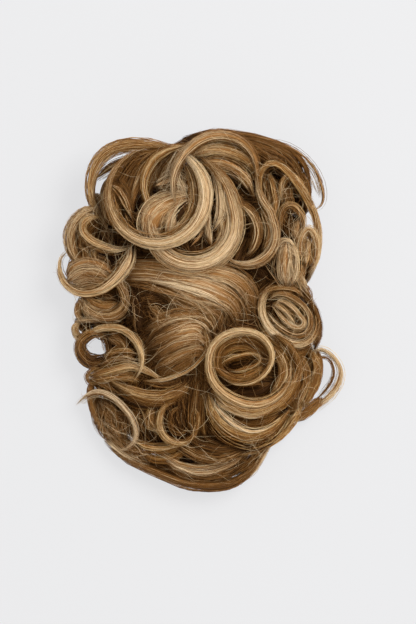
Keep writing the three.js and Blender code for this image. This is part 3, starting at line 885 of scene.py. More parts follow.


# The curled sections

# in the tables below, most locks that lie under or behind others, and those down in hollows, get low tones:
# painted shade
crownCurls = {"node": "crown_curls", "seed": 11}
crownCurls["mound"] = dict(x=4, y=66, z=20, wide=88, long=50, tall=28, strands=112, tone=0.16)
crownCurls["locks"] = [
    # front arch
    strip([(-15.5, 68.5, 46), (-18, 78.5, 50), (-18, 88, 54), (-14.5, 98, 58), (-8.5, 106, 60),
        (-0.5, 112.5, 60), (8.5, 116, 58), (18.5, 116, 55), (27.5, 112.5, 51), (33.5, 106.5, 47),
        (37.5, 98, 44), (38.5, 88, 42), (37.5, 78.5, 39), (34.5, 69.5, 34)],
        [2, 3, 4.5, 6, 6.5, 6, 5.5, 5, 4.5, 3.5], 5, [0.74, 0.72, 0.66, 0.58, 0.5, 0.44, 0.4], 0.43,
        grade=0),
    # wisp of the arch
    thin([(-14.5, 106.5, 59), (-19.5, 98, 53), (-22.5, 88.5, 47), (-26.5, 80.5, 43)], 1.0, 1.4, 0.85, 0.23),
    # second wisp
    thin([(-12, 101.5, 57), (-16, 92, 51), (-15.5, 81.5, 46), (-10.5, 72, 43)], 1.0, 1.4, 0.85, 0.23),
    # front ring
    lock([(-28.6, 76.5, 32.7, 32.9, 66, -272)], [57, 53, 50, 49, 46, 43, 42],
        [8, 9.5, 8.6, 6.2, 4.2, 3.2, 3], 8, [0.9, 0.87, 0.82, 0.77, 0.6, 0.5, 0.5], 0.53, grade=0),
    # front ring inner wall
    strip([(-9.5, 96, 45), (-4.5, 86.5, 44), (-3.5, 76, 43), (-6, 65.5, 42), (-12.5, 56, 41),
        (-21.5, 50.5, 41), (-33.5, 48.5, 41)], [5, 8, 8.5, 8, 7, 6], 9, 0.56, 0.87),
    # golden lock
    strip([(-9.5, 109.5, 50), (-20.5, 106.5, 48), (-30, 100.5, 46), (-35.5, 92, 44), (-37.5, 82.5, 42),
        (-35.5, 73.5, 39), (-30.5, 64.5, 37), (-25.5, 56.5, 35)], [3, 4.5, 4.5, 4, 4], 5, 0.62, 0.83),
    # second ring
    lock([(-23.3, 58.7, 49, 47, 62, 16), (-5, 59, 29.3, 29.3, 8, -222)], [49, 45, 43, 43, 43, 38],
        [7, 9, 11, 12, 12, 10, 8], 9, [0.42, 0.66, 0.86, 0.8, 0.72, 0.68], 0.57, grade=-0.08),
    # second ring fan, with less painted light on its crest
    single([(1.5, 78.5, 38), (-7.5, 75.5, 41), (-20, 71.5, 42), (-30.5, 64, 42), (-33.5, 53.5, 41),
        (-28.5, 41.5, 40)], [8, 13, 18, 21, 19, 14], 7, [0.58, 0.66, 0.72, 0.72, 0.7, 0.66], 0.57,
        look=dict(crestPaintedLight=0.08, mixed=0.8)),
    # fan inner, with less painted light on its crest
    single([(2, 75.5, 38), (-4.5, 72.5, 41), (-12.5, 68, 42.5), (-18.5, 60, 42.5), (-21.5, 48, 41.5)],
        [8, 11, 13, 13, 9], 6, [0.66, 0.76, 0.8, 0.78, 0.7], 0.46, look=dict(crestPaintedLight=0.08, mixed=0.8)),
    # lock in the second ring
    strip([(6, 65.5, 41), (5.5, 54.5, 41), (8, 42.5, 40)], 3.5, 5, 0.74, 0.46),
    # second ring inner wall
    strip([(9.5, 70.5, 40), (15.5, 60.5, 39), (15.5, 49.5, 38), (9.5, 40.5, 37)], 7, 8, 0.62, 0.68),
    # fuzz in the second ring
    loose([(5.5, 58.5, 37), (0, 49.5, 36), (-6.5, 42, 35)], 6, 4, 0.66, 0.46),
    # right band
    lock([(18.7, 52, 20, 20, 75, -60)], [41, 41, 37], 4.7, 9, 0.6, 0.6),
    # third ring
    lock([(70, 88, 32, 32, 178, 226), (30, 50.7, 20.7, 20.7, 28, -138)], [44, 45, 44, 44, 43],
        [2.4, 3, 3.6, 4.2, 4.2, 4], 6, 0.7, 0.46),
    # between rings
    strip([(41.5, 68, 40), (46, 58.5, 39), (46.5, 48, 38), (41.5, 38.5, 38)], [5, 7, 6, 4], 8, 0.58, 0.68),
    # arch fill
    strip([(-5.5, 102.5, 42), (6.5, 107.5, 43), (20, 106.5, 43), (31.5, 100, 42), (37.5, 89.5, 40)],
        [7, 11, 12, 8, 5], 7, [0.72, 0.74, 0.64, 0.52, 0.42], 0.91),
    # arch fill lower
    strip([(-2, 96, 40), (10, 98, 41), (22, 94.5, 40), (32, 85.5, 39), (36.5, 74.5, 38)], [6, 10, 10, 7], 7,
        0.62, 0.6),
    # arch fill lowest
    loose([(2.5, 88, 38), (13.5, 85.5, 38), (24, 76.5, 37), (32, 67.5, 36)], [6, 9, 8, 5], 7, 0.3, 0.6),
    # hair inside the ring
    strip([(-22.5, 106.5, 40), (-33.5, 99.5, 40), (-40.5, 88.5, 39), (-44.5, 76, 38), (-46, 63.5, 37)],
        [5, 9, 10, 9, 5], 7, 0.42, 0.6),
    # hair inside the ring, left
    strip([(-32, 105.5, 37), (-44, 98, 37), (-51.5, 86.5, 36), (-54, 74.5, 36), (-52, 62, 36)],
        [4, 8, 8, 8, 5], 7, 0.3, 0.6),
    # pale lock inside
    single([(-60, 84.5, 41), (-53.5, 79.5, 41), (-48, 70.5, 40), (-44.5, 60, 38)], [4, 6, 5, 2.5], 4, 0.44,
        0.53),
    # pale lock inside, second
    single([(-54.5, 87.5, 40), (-48, 78, 40), (-44, 65.5, 38)], 3, 3, 0.42, 0.6),
    # inner wall, left
    strip([(-60.5, 82.5, 42), (-58.5, 69.5, 41), (-53.5, 58.5, 40), (-44, 50.5, 39), (-32, 46.5, 39)],
        [4, 6, 6, 5, 4], 8, 0.52, 0.68),
    # floor of the ring
    loose([(-50.5, 65.5, 36), (-44.5, 56, 36), (-39.5, 46.5, 36)], 8, 5, 0.26, 0.6),
    # fuzz at the top
    loose([(-18.5, 96, 43), (-13.5, 86, 43), (-8.5, 74.5, 42)], 8, 4, 0.84, 0.48),
    # fuzz across
    loose([(-29.5, 82.5, 42), (-17.5, 86.5, 43), (-5.5, 81.5, 42)], 9, 4, 0.8, 0.53),
    # dark back of the ring
    strip([(-8, 105.5, 33), (-18, 98.5, 32), (-24.5, 88.5, 31), (-26.5, 77.5, 31)], [10, 14, 14, 10], 8,
        0.56, 0.6),
    # back of the arch
    strip([(-21.5, 106, 30), (-6.5, 110.5, 31), (9.5, 112.5, 32), (26.5, 109.5, 32), (38.5, 101.5, 31)],
        [6, 10, 11, 10, 8], 8, 0.16, 0.6),
    # dark back of the ring, left
    single([(-17.5, 104.5, 31), (-27.5, 97.5, 30), (-32.5, 86.5, 30), (-34.5, 75.5, 30)], [9, 13, 13, 10],
        8, 0.4, 0.6),
    # dark slit, a lock of the darkest tone: painted shade in a slit between locks
    single([(-8, 72.5, 45), (-12, 65.5, 45.5), (-15.5, 58, 45)], [3, 6, 4], 3, 0, 0.63),
    # under the crown, back
    neat([(-33.5, 96, 16), (-21.5, 102, 17), (-6.5, 106, 18), (10, 107.5, 18), (26.5, 105.5, 18),
        (41.5, 98.5, 17)], [12, 16, 16, 15, 14, 12], 8, 0.12, 0.6),
    # under the ring
    neat([(-48.5, 80, 15), (-46, 88.5, 15), (-38.5, 96, 16)], 10, 8, 0.14, 0.6),
    # third wisp
    thin([(-13.5, 104, 58), (-18.5, 94.5, 52), (-20, 84, 47), (-18, 73.5, 44)], 0.9, 1.3, 0.82, 0.31),
    # between front and second ring
    single([(7.5, 96, 43), (12.5, 85.5, 44), (14.5, 74, 44), (13.5, 62.5, 43), (8.5, 52.5, 42)],
        [4, 6.5, 7, 6, 4], 7, 0.8, 0.6),
]

barrelCurl = {"node": "barrel_curl", "seed": 12}
barrelCurl["mound"] = dict(x=31, y=-46, z=15, wide=56, long=58, tall=28, strands=84, tone=0.16)
barrelCurl["locks"] = [
    # rim
    single([(12.5, -42.5, 39), (18, -47.5, 40), (26, -50, 41), (34.5, -48.5, 42), (42, -44, 43),
        (46.5, -38, 44), (48.5, -31.5, 45), (46.5, -24, 46), (41.5, -18, 47), (33.5, -14.5, 47.5),
        (25.5, -14, 48), (17.5, -16.5, 48), (10, -21.5, 47.5), (6.5, -29.5, 47), (6, -38.5, 46),
        (8.5, -47.5, 44.5), (14.5, -54.5, 43), (24, -60.5, 41), (34.5, -63.5, 39), (45.5, -61.5, 37.5),
        (54, -55.5, 36), (60, -46, 35), (61.5, -34.5, 33), (56.5, -24.5, 31)],
        [1.4, 1.8, 2, 2.2, 2.4, 2.8, 3.6, 4.6, 5, 5.2, 5.2, 5.4, 6, 7, 8.5, 8.5, 8, 7, 5.5, 4], 6,
        [0.58, 0.6, 0.66, 0.72, 0.74, 0.72, 0.7, 0.72, 0.7, 0.62, 0.52, 0.48], 0.77, look=dict(fray=0.12)),
    # outer crescent
    strip([(8, -52, 40), (14.5, -60.5, 39), (25.5, -66.5, 37.5), (37.5, -68, 36.5), (49.5, -64, 35.5),
        (58.5, -56, 34), (64, -44.5, 32), (65.5, -32, 30), (60, -22, 29)], [3, 5, 6, 7, 7, 7.5, 7, 5, 4], 8,
        [0.64, 0.62, 0.6, 0.54, 0.46, 0.42, 0.4], 0.96),
    # rim inner wall
    single([(45.5, -33.5, 39), (42.5, -25.5, 40), (34.5, -20, 41), (24.5, -19.5, 41.5), (15.5, -23.5, 41.5),
        (11.5, -31.5, 41), (12.5, -39.5, 40), (19.5, -44.5, 40), (28.5, -46.5, 40), (38, -44, 40)], 5.5, 8,
        0.4, 1),
    # eye
    single([(12.5, -39.5, 37), (17.5, -34, 38), (25.5, -31, 39), (33.5, -29.5, 39.5), (39.5, -31.5, 39),
        (38, -35.5, 39), (31.5, -38.5, 39), (24, -40.5, 39), (17.5, -39.5, 38.5)],
        [2.4, 2.6, 2.6, 2.4, 2.2, 3, 3.2, 2.4], 4, [0.56, 0.56, 0.5, 0.46, 0.44, 0.5, 0.56], 1),
    # eye upper wall
    single([(13.5, -28, 34), (25.5, -26, 35), (38, -28, 34)], 8, 7, 0.32, 1),
    # eye lower wall
    single([(12, -40.5, 37), (18, -44, 38), (27.5, -45, 38.5), (36, -42, 38.5), (42.5, -36, 38)], 5, 6,
        [0.5, 0.5, 0.46, 0.4], 1),
    # crescent one
    single([(9.5, -59.5, 39), (14.5, -63.5, 38.5), (23.5, -68, 38), (33.5, -70.5, 37.5), (44, -68.5, 36.5),
        (55.5, -62, 35)], [2, 3, 3.4, 3, 2], 4, 0.72, 0.63),
    # crescent two
    single([(13.5, -65.5, 32), (21.5, -72, 32), (33.5, -76, 31.5), (45.5, -73.5, 31), (56, -65.5, 30)],
        [4, 6, 6, 6, 4], 6, 0.22, 0.85),
    # crescent three
    strip([(5.5, -54.5, 35), (7.5, -64.5, 34.5), (13.5, -74, 34), (22, -80.5, 33), (32.5, -83.5, 32),
        (43.5, -81.5, 31), (53.5, -74.5, 30), (60.5, -65.5, 28)], [3, 6, 8, 9, 9, 8, 7, 4], 9,
        [0.62, 0.6, 0.56, 0.52, 0.5], 0.93),
    # crescent four
    strip([(3.5, -68, 27), (9.5, -80, 26), (20.5, -88.5, 25), (34.5, -91.5, 24), (48, -84.5, 23),
        (58.5, -73.5, 22)], [5, 7, 7, 7, 7, 5], 12, 0.08, 0.85),
    # crescent five
    neat([(36, -93.5, 15), (48, -88, 15), (57.5, -80, 15), (64, -70.5, 16), (68, -62, 17)],
        [4, 6, 6.5, 6, 5], 20, 0.64, 0.93),
    # right flow outer
    strip([(48.5, -16, 38), (58.5, -23.5, 36), (64.5, -34, 33), (64.5, -46, 31), (60, -57.5, 29)],
        [4, 6, 6, 6, 5], 8, 0.4, 0.85),
    # right flow inner
    single([(48, -23.5, 37), (54, -31.5, 36), (56, -40.5, 35), (52.5, -50, 34), (45.5, -56.5, 33)],
        [5, 7, 8, 7, 5], 6, 0.48, 0.85),
    # left shade
    strip([(8, -15.5, 36), (3.5, -23.5, 35), (0.5, -34, 33), (0.5, -46.5, 31), (4, -60, 29)],
        [4, 6, 6, 6, 5], 8, 0.2, 0.85),
    # inner wall, second
    single([(41.5, -34, 36), (38, -27.5, 37), (29.5, -24, 38), (20.5, -25.5, 38), (14.5, -32, 37),
        (15.5, -38.5, 37)], 6, 7, 0.36, 1),
    # eye floor, its tone below dark: painted shade in the eye
    single([(19.5, -37.5, 33), (27.5, -35.5, 34), (36, -33.5, 33)], 4, 4, -0.1, 0.93),
    # under the rim, dark: painted shade under the rim
    single([(11.5, -50, 31), (20, -54, 32), (31.5, -56, 32), (42, -53.5, 32), (49.5, -46.5, 32)],
        [5, 7, 8, 7, 5], 4, 0, 0.93),
    # crescent three, edge
    single([(8.5, -59.5, 38), (12.5, -66.5, 38), (21.5, -75.5, 37), (32, -80.5, 36), (42.5, -80, 35),
        (52, -74, 33)], [1.5, 2, 2.4, 2.4, 2, 1.5], 4, 0.8, 0.63),
    # right flow, pale
    single([(50.5, -25.5, 38), (56, -34, 37), (57.5, -43.5, 36), (52.5, -52.5, 35)], [2, 3, 3, 2], 3, 0.64,
        0.7),
    # under crescent five
    neat([(41.5, -88, 12), (51.5, -81.5, 12), (58.5, -72.5, 12), (63.5, -63.5, 13)], [7, 8, 8, 7], 10, 0.26,
        0.77),
]

centreSwirl = {"node": "centre_swirl", "seed": 13}
centreSwirl["mound"] = dict(x=-8, y=-8, z=20, wide=88, long=66, tall=22, strands=112, tone=0.02)
centreSwirl["locks"] = [
    # the sweeps' tones fall towards their ends, where they run down under the barrel, and the tufts' tones
    # are low at both ends, beside the hollow and beside the barrel: painted shade
    # sweep one
    strip([(-56, 30, 31), (-45.5, 30, 34), (-30.5, 29.5, 36), (-13.5, 27.5, 38), (4, 25.5, 40),
        (20, 22.5, 40), (30.5, 14.5, 37), (35.5, 2.5, 30), (34, -17.5, 20)], [7, 9, 10, 11, 13, 13, 11, 9],
        7, [0.4, 0.46, 0.54, 0.62, 0.72, 0.52, 0.28, 0.18], 0.53, grade=0,
        look=dict(mixed=0.65, fray=0.1, root=0.9, tip=0.8)),
    # sweep two
    strip([(-57.5, 25.5, 30), (-46.5, 24.5, 33), (-32, 23.5, 36), (-12.5, 18.5, 39), (6, 13.5, 41),
        (19.5, 6, 38), (26, -5.5, 31), (27.5, -22.5, 20)], [13, 15, 18, 23, 24, 20, 16, 14], 7,
        [0.38, 0.44, 0.52, 0.66, 0.74, 0.56, 0.3, 0.14], 0.42, grade=0,
        look=dict(mixed=0.65, fray=0.1, root=0.9, tip=0.8)),
    # sweep three
    strip([(-49.5, 22, 30), (-36.5, 20.5, 33), (-22, 16.5, 36), (-6.5, 10.5, 40), (6.5, 3.5, 39),
        (14, -6, 34), (15.5, -20, 25)], [7, 8, 11, 15, 14, 12, 11], 7,
        [0.3, 0.36, 0.46, 0.58, 0.54, 0.34, 0.14], 0.42, grade=0,
        look=dict(mixed=0.65, fray=0.12, root=0.9, tip=0.8)),
    # sweep four
    strip([(-30.5, 14.5, 32), (-16, 10, 37), (-2, 3.5, 40), (7.5, -4.5, 37), (10.5, -14, 31),
        (9.5, -26, 25)], [5, 9, 11, 10, 9, 8], 7, [0.26, 0.38, 0.48, 0.42, 0.22, 0.06], 0.46, grade=0,
        look=dict(mixed=0.65, fray=0.12, tip=0.8)),
    # sweep five
    strip([(-26.5, 8.5, 30), (-13.5, 3.5, 36), (-2.5, -3.5, 39), (3.5, -12, 35), (4.5, -24, 29)],
        [5, 9, 10, 9, 8], 7, [0.22, 0.32, 0.4, 0.3, 0.16], 0.5, grade=0,
        look=dict(mixed=0.65, fray=0.12, tip=0.8)),
    # sweep pale strand
    single([(-33.5, 19.5, 39), (-13.5, 15.5, 42), (3.5, 10.5, 43), (14.5, 4, 41), (22, -5.5, 36)],
        [2, 3, 3.5, 3, 2], 4, [0.62, 0.76, 0.84, 0.76, 0.6], 0.35, grade=-0.2),
    # tuft back
    strip([(-37.5, -13.5, 29), (-27.5, -9.5, 34), (-14.5, -5.5, 39), (-3.5, -4.5, 40), (4, -8.5, 37),
        (6.5, -14.5, 32)], [6, 12, 14, 14, 13, 10], 7, [0.44, 0.46, 0.46, 0.5, 0.4, 0.24], 0.5, grade=0,
        look=dict(mixed=0.65, fray=0.08, tip=0.9)),
    # tuft
    strip([(-37.5, -27.5, 29), (-26.5, -20, 35), (-14, -13.5, 41), (-3.5, -11.5, 42), (2.5, -14.5, 40),
        (4.5, -20.5, 34)], [7, 15, 19, 18, 16, 13], 8, [0.34, 0.3, 0.42, 0.66, 0.6, 0.3], 0.46, grade=0,
        look=dict(mixed=0.65, fray=0.08, tip=0.9)),
    # tuft middle
    strip([(-35.5, -34.5, 29), (-23.5, -26.5, 36), (-11.5, -20.5, 42), (-2, -18.5, 42), (3.5, -22, 39),
        (4, -28, 33)], [5, 11, 14, 14, 13, 11], 7, [0.24, 0.26, 0.44, 0.64, 0.5, 0.24], 0.46, grade=0,
        look=dict(mixed=0.65, fray=0.08, tip=0.9)),
    # tuft low
    strip([(-33.5, -40.5, 29), (-20, -33.5, 36), (-8.5, -28, 40), (-0.5, -26, 40), (2.5, -29.5, 37),
        (1.5, -34.5, 32)], [4, 9, 11, 11, 10, 8], 7, [0.32, 0.42, 0.52, 0.52, 0.42, 0.32], 0.57, grade=0,
        look=dict(mixed=0.65, fray=0.08, tip=0.9)),
    # tuft lowest
    strip([(-31.5, -44.5, 28), (-18, -40, 34), (-7.5, -34.5, 37), (0, -31.5, 36)], [4, 7, 8, 8], 7, 0.34,
        0.64, grade=0.2, look=dict(mixed=0.65, fray=0.08, tip=0.9)),
    # edge
    single([(0.5, -8, 43), (4, -15.5, 44), (5.5, -24, 43), (1.5, -32, 42), (-6, -39.5, 40),
        (-16, -44.5, 37), (-28, -47.5, 34), (-40, -46.5, 32)], [1.5, 2.2, 2.6, 2.6, 2.4, 2.2, 2, 1.5], 3,
        [0.45, 0.52, 0.6, 0.7, 0.72, 0.72], 0.8),
    # under the edge
    strip([(2, -28, 38), (-4, -36, 36), (-13.5, -42, 33), (-25.5, -45.5, 31), (-35.5, -44, 30)],
        [4, 6, 6, 5, 4], 6, 0.22, 0.72),
    # hollow, its low tone painted shade
    hollow([(-51.5, 15.5, 30), (-45.5, 9.5, 31), (-41.5, -1.5, 32), (-40, -14.5, 33)], [10, 15, 15, 10], 5,
        -0.14, 0.57),
    # wisp over the hollow
    thin([(-46, 14.5, 34), (-44.5, 1.5, 36), (-43.5, -12, 37), (-38.5, -24, 37)], 0.8, 1.2, 0.56, 0.42),
    # wisp over the hollow, right
    thin([(-36.5, 10.5, 35), (-31.5, 0, 37), (-24, -10, 39), (-16, -13.5, 41)], 0.8, 1.2, 0.56, 0.42),
    # wisp over the sweep
    thin([(-8, 18, 43), (-14.5, 9.5, 43), (-20, 1.5, 42), (-22.5, -8, 41)], 0.7, 1.2, 0.72, 0.35),
    # wisp over the sweep, left
    thin([(-17.5, 26, 42), (-25.5, 25.5, 41), (-30, 18, 39), (-33.5, 9.5, 37)], 0.7, 1.2, 0.7, 0.35),
    # tuft top fuzz
    single([(-36, 4, 30), (-29.5, -1.5, 33), (-22, -6.5, 36), (-13.5, -9.5, 39)], [6, 9, 9, 6], 5,
        [0.4, 0.48, 0.54, 0.56], 0.5, look={**looseLook, "mixed": 0.7}),
]

rightSpiral = {"node": "right_spiral", "seed": 14}
rightSpiral["mound"] = dict(x=60, y=-14, z=12, wide=32, long=54, tall=26, strands=62, tone=0.16)
rightSpiral["locks"] = [
    # inner loop
    strip([(49.5, 4, 36), (54, 6, 36), (60.5, 2.5, 36), (66, -3.5, 35), (69.5, -8.5, 34), (65.5, -12, 34),
        (59.5, -9.5, 34), (53.5, -3.5, 35), (48, 3.5, 35)], [2, 2.4, 2.4, 2.4, 2.8, 3.2, 3, 2.4], 7, 0.7,
        0.6),
    # second loop
    strip([(45.5, 6.5, 33), (50.5, 10, 34), (58.5, 9.5, 34), (67.5, 3.5, 33), (72.5, -4.5, 32),
        (72, -12.5, 31), (66, -16.5, 31), (57.5, -14, 31), (49.5, -7.5, 32), (44.5, 0, 32)],
        [3, 3.5, 3.5, 4, 4, 4, 4, 3.5], 10, [0.58, 0.52, 0.48, 0.42, 0.4, 0.5, 0.62, 0.64], 0.71),
    # outer loop
    strip([(49.5, 16, 30), (43.5, 12, 32), (40, 2, 33), (44, -10, 32), (52.5, -18, 31), (62, -22.5, 30),
        (70.5, -22, 28), (76.5, -15.5, 26), (78, -5.5, 25), (73.5, 4.5, 26), (65.5, 11.5, 28)],
        [5, 7, 8, 8, 8, 7, 6, 5, 4], 12, [0.34, 0.52, 0.78, 0.84, 0.74, 0.54, 0.34, 0.26, 0.28], 0.64,
        grade=0, look=dict(root=0.8)),
    # lower band
    strip([(40.5, -9.5, 30), (47.5, -19.5, 29), (56.5, -26, 28), (66, -28, 26), (75.5, -24.5, 22)],
        [4, 6, 6, 6, 5], 13, [0.56, 0.52, 0.44, 0.34, 0.28], 0.87),
    # outer edge
    neat([(68.5, 12, 24), (74.5, 3.5, 22), (78.5, -7.5, 20), (78.5, -18, 18), (76, -28, 17)],
        [4, 5.5, 6, 6, 5], 20, 0.24, 0.79),
    # top band
    strip([(41.5, 10.5, 31), (50, 14.5, 32), (61.5, 13.5, 31), (70, 8.5, 29)], 4, 8, 0.5, 0.71),
    # inside
    strip([(52, 1.5, 30), (58, -2.5, 30), (63.5, -7.5, 30)], 6, 6, 0.3, 0.71),
    # side surface
    strip([(62.5, -26.5, 25), (68, -37.5, 23), (69.5, -48.5, 20), (66.5, -59.5, 18), (62, -69.5, 16)],
        [6, 9, 9, 8, 6], 16, 0.48, 0.79),
    # side surface, right
    neat([(72.5, -25.5, 21), (77.5, -36, 18), (76, -47.5, 15), (71.5, -58, 13), (65.5, -68.5, 12)],
        [6, 9, 9, 8, 6], 20, 0.56, 0.9),
    # side surface, edge
    neat([(78, -26, 16), (80, -37.5, 13), (78, -49.5, 11), (72, -61.5, 10)], 4, 18, 0.42, 0.87),
    # side loop
    single([(70.5, -29.5, 19), (80, -26, 17), (87.5, -29.5, 14), (93.5, -37.5, 12), (94.5, -46, 11),
        (90.5, -54.5, 10), (82, -62.5, 9), (72, -69.5, 8), (61.5, -76, 7)],
        [2.4, 2.6, 2.8, 3, 3.4, 3.8, 3.8, 3.6, 2.6], 5, 0.78, 0.49),
    # side loop inner
    single([(72, -38, 17), (79.5, -32, 16), (86, -32.5, 14), (89.5, -40, 13), (87.5, -48.5, 11),
        (80, -58, 10), (69.5, -66.5, 9)], [1.4, 1.6, 1.7, 1.7, 1.8, 1.8, 1.6], 2.5, 0.28, 0.94),
    # under the side
    single([(58, -57.5, 16), (62.5, -64, 14), (64, -72, 11)], [9, 10, 8], 14, 0.38, 0.79),
    # petal
    single([(48, 4.5, 33), (54.5, 1.5, 34), (60, -4.5, 34), (64, -10.5, 33)], [2, 3, 3, 2], 5, 0.6, 0.71),
    # side loop, second strand
    single([(74.5, -28, 16), (82.5, -27.5, 15), (89.5, -32, 13), (93.5, -40, 12), (92, -48.5, 11),
        (85.5, -57.5, 10), (75.5, -64.5, 9)], [1.6, 1.6, 1.8, 2, 2.2, 2.4, 2], 3, 0.62, 0.64),
    # behind the side surface
    neat([(69.5, -22.5, 12), (74, -31.5, 12), (74, -42, 11), (70, -54, 10)], [8, 10, 9, 7], 10, 0.34, 0.79),
    # side loop, root
    neat([(82, -58.5, 9), (76, -64, 9), (69.5, -69.5, 9), (62, -75.5, 8)], [5, 8, 8, 6], 9, 0.46, 0.87),
]

upperLeftCurls = {"node": "upper_left_curls", "seed": 15}
upperLeftCurls["mound"] = dict(x=-50, y=56, z=12, wide=24, long=46, tall=24, strands=62, tone=0.16)
upperLeftCurls["locks"] = [
    # top loop
    neat([(-14.5, 108.5, 37), (-26.5, 108.5, 37), (-36.5, 110, 37), (-48.5, 110, 36), (-60, 106.5, 34),
        (-68, 99.5, 32), (-72.5, 89.5, 30), (-73.5, 78.5, 28), (-71.5, 68.5, 27), (-66.5, 60.5, 28),
        (-59.5, 51.5, 30)], [5, 8, 9.5, 10, 9.5, 8, 6.5, 6, 6, 5], [6, 8, 10, 13, 17, 20, 20, 16, 12],
        [0.54, 0.56, 0.58, 0.58, 0.56, 0.54, 0.6], 0.75),
    # band under the loop
    single([(-21.5, 107.5, 38), (-34.5, 104, 36), (-46.5, 100.5, 33), (-55.5, 97.5, 30), (-62.5, 93.5, 27),
        (-68.5, 88.5, 24), (-73.5, 83.5, 22)], [4, 4.5, 5, 6, 6.5, 6, 5], 7, 0.42, 0.79),
    # between loop and ring
    strip([(-58, 89.5, 28), (-62, 80, 31), (-62.5, 71.5, 33), (-60, 62.5, 33), (-53.5, 53.5, 33)],
        [4, 5.5, 6, 6, 4], 8, 0.6, 0.64),
    # outer curl
    neat([(-66.5, 68.5, 31), (-76, 65.5, 30), (-83.5, 58, 27), (-86.5, 48, 24), (-84.5, 38.5, 21),
        (-79.5, 32.5, 19), (-72.5, 31.5, 18)], [5, 8, 9.5, 10, 9.5, 8, 5], [12, 18, 24, 26, 24, 20],
        [0.62, 0.64, 0.64, 0.6, 0.5, 0.42], 0.49),
    # outer curl, second
    strip([(-65.5, 64, 30), (-72.5, 60.5, 29), (-78, 54, 26), (-80, 45.5, 23), (-77.5, 37.5, 21),
        (-72.5, 32, 20)], [4, 7, 8, 8, 7, 4], 16, 0.42, 0.71),
    # outer curl, third
    strip([(-64, 60, 27), (-72, 54.5, 25), (-75.5, 46.5, 23), (-74.5, 37.5, 21), (-70, 29.5, 20)],
        [4, 7.5, 8, 7, 5], 12, 0.28, 0.67),
    # inner band
    strip([(-66, 62.5, 34), (-73.5, 62, 35), (-78, 58, 35), (-77.5, 51.5, 34), (-71.5, 45.5, 34),
        (-62.5, 41.5, 34), (-54, 40, 34), (-46, 42, 35)], [3, 4.5, 5, 5, 4.5, 4, 3.5], 8,
        [0.6, 0.62, 0.64, 0.72, 0.8], 0.75),
    # fall inside
    strip([(-77.5, 44.5, 28), (-76.5, 36.5, 26), (-75.5, 28, 24)], 6, 8, 0.36, 0.67),
    # fall inside, right
    strip([(-70, 42.5, 28), (-70, 34.5, 26), (-67.5, 26.5, 24)], 4, 6, 0.47, 0.67),
    # floor inside
    loose([(-66.5, 54.5, 27), (-62, 46.5, 25), (-60, 36, 23)], 9, 6, 0.4, 0.6),
    # behind the outer curl
    neat([(-70, 64, 14), (-67.5, 52, 14), (-65.5, 37.5, 14)], [12, 15, 13], 8, 0.16, 0.67),
    # behind the loop
    neat([(-67.5, 74, 14), (-65.5, 66, 14), (-62.5, 55.5, 14), (-58, 45.5, 15)], [7, 9, 9, 9], 8, 0.16,
        0.67),
    # inside the loop
    single([(-73.5, 77.5, 20), (-68, 73.5, 22), (-62.5, 66.5, 24), (-58, 58, 25)], [5, 8, 9, 7], 8, 0.46,
        0.67),
]

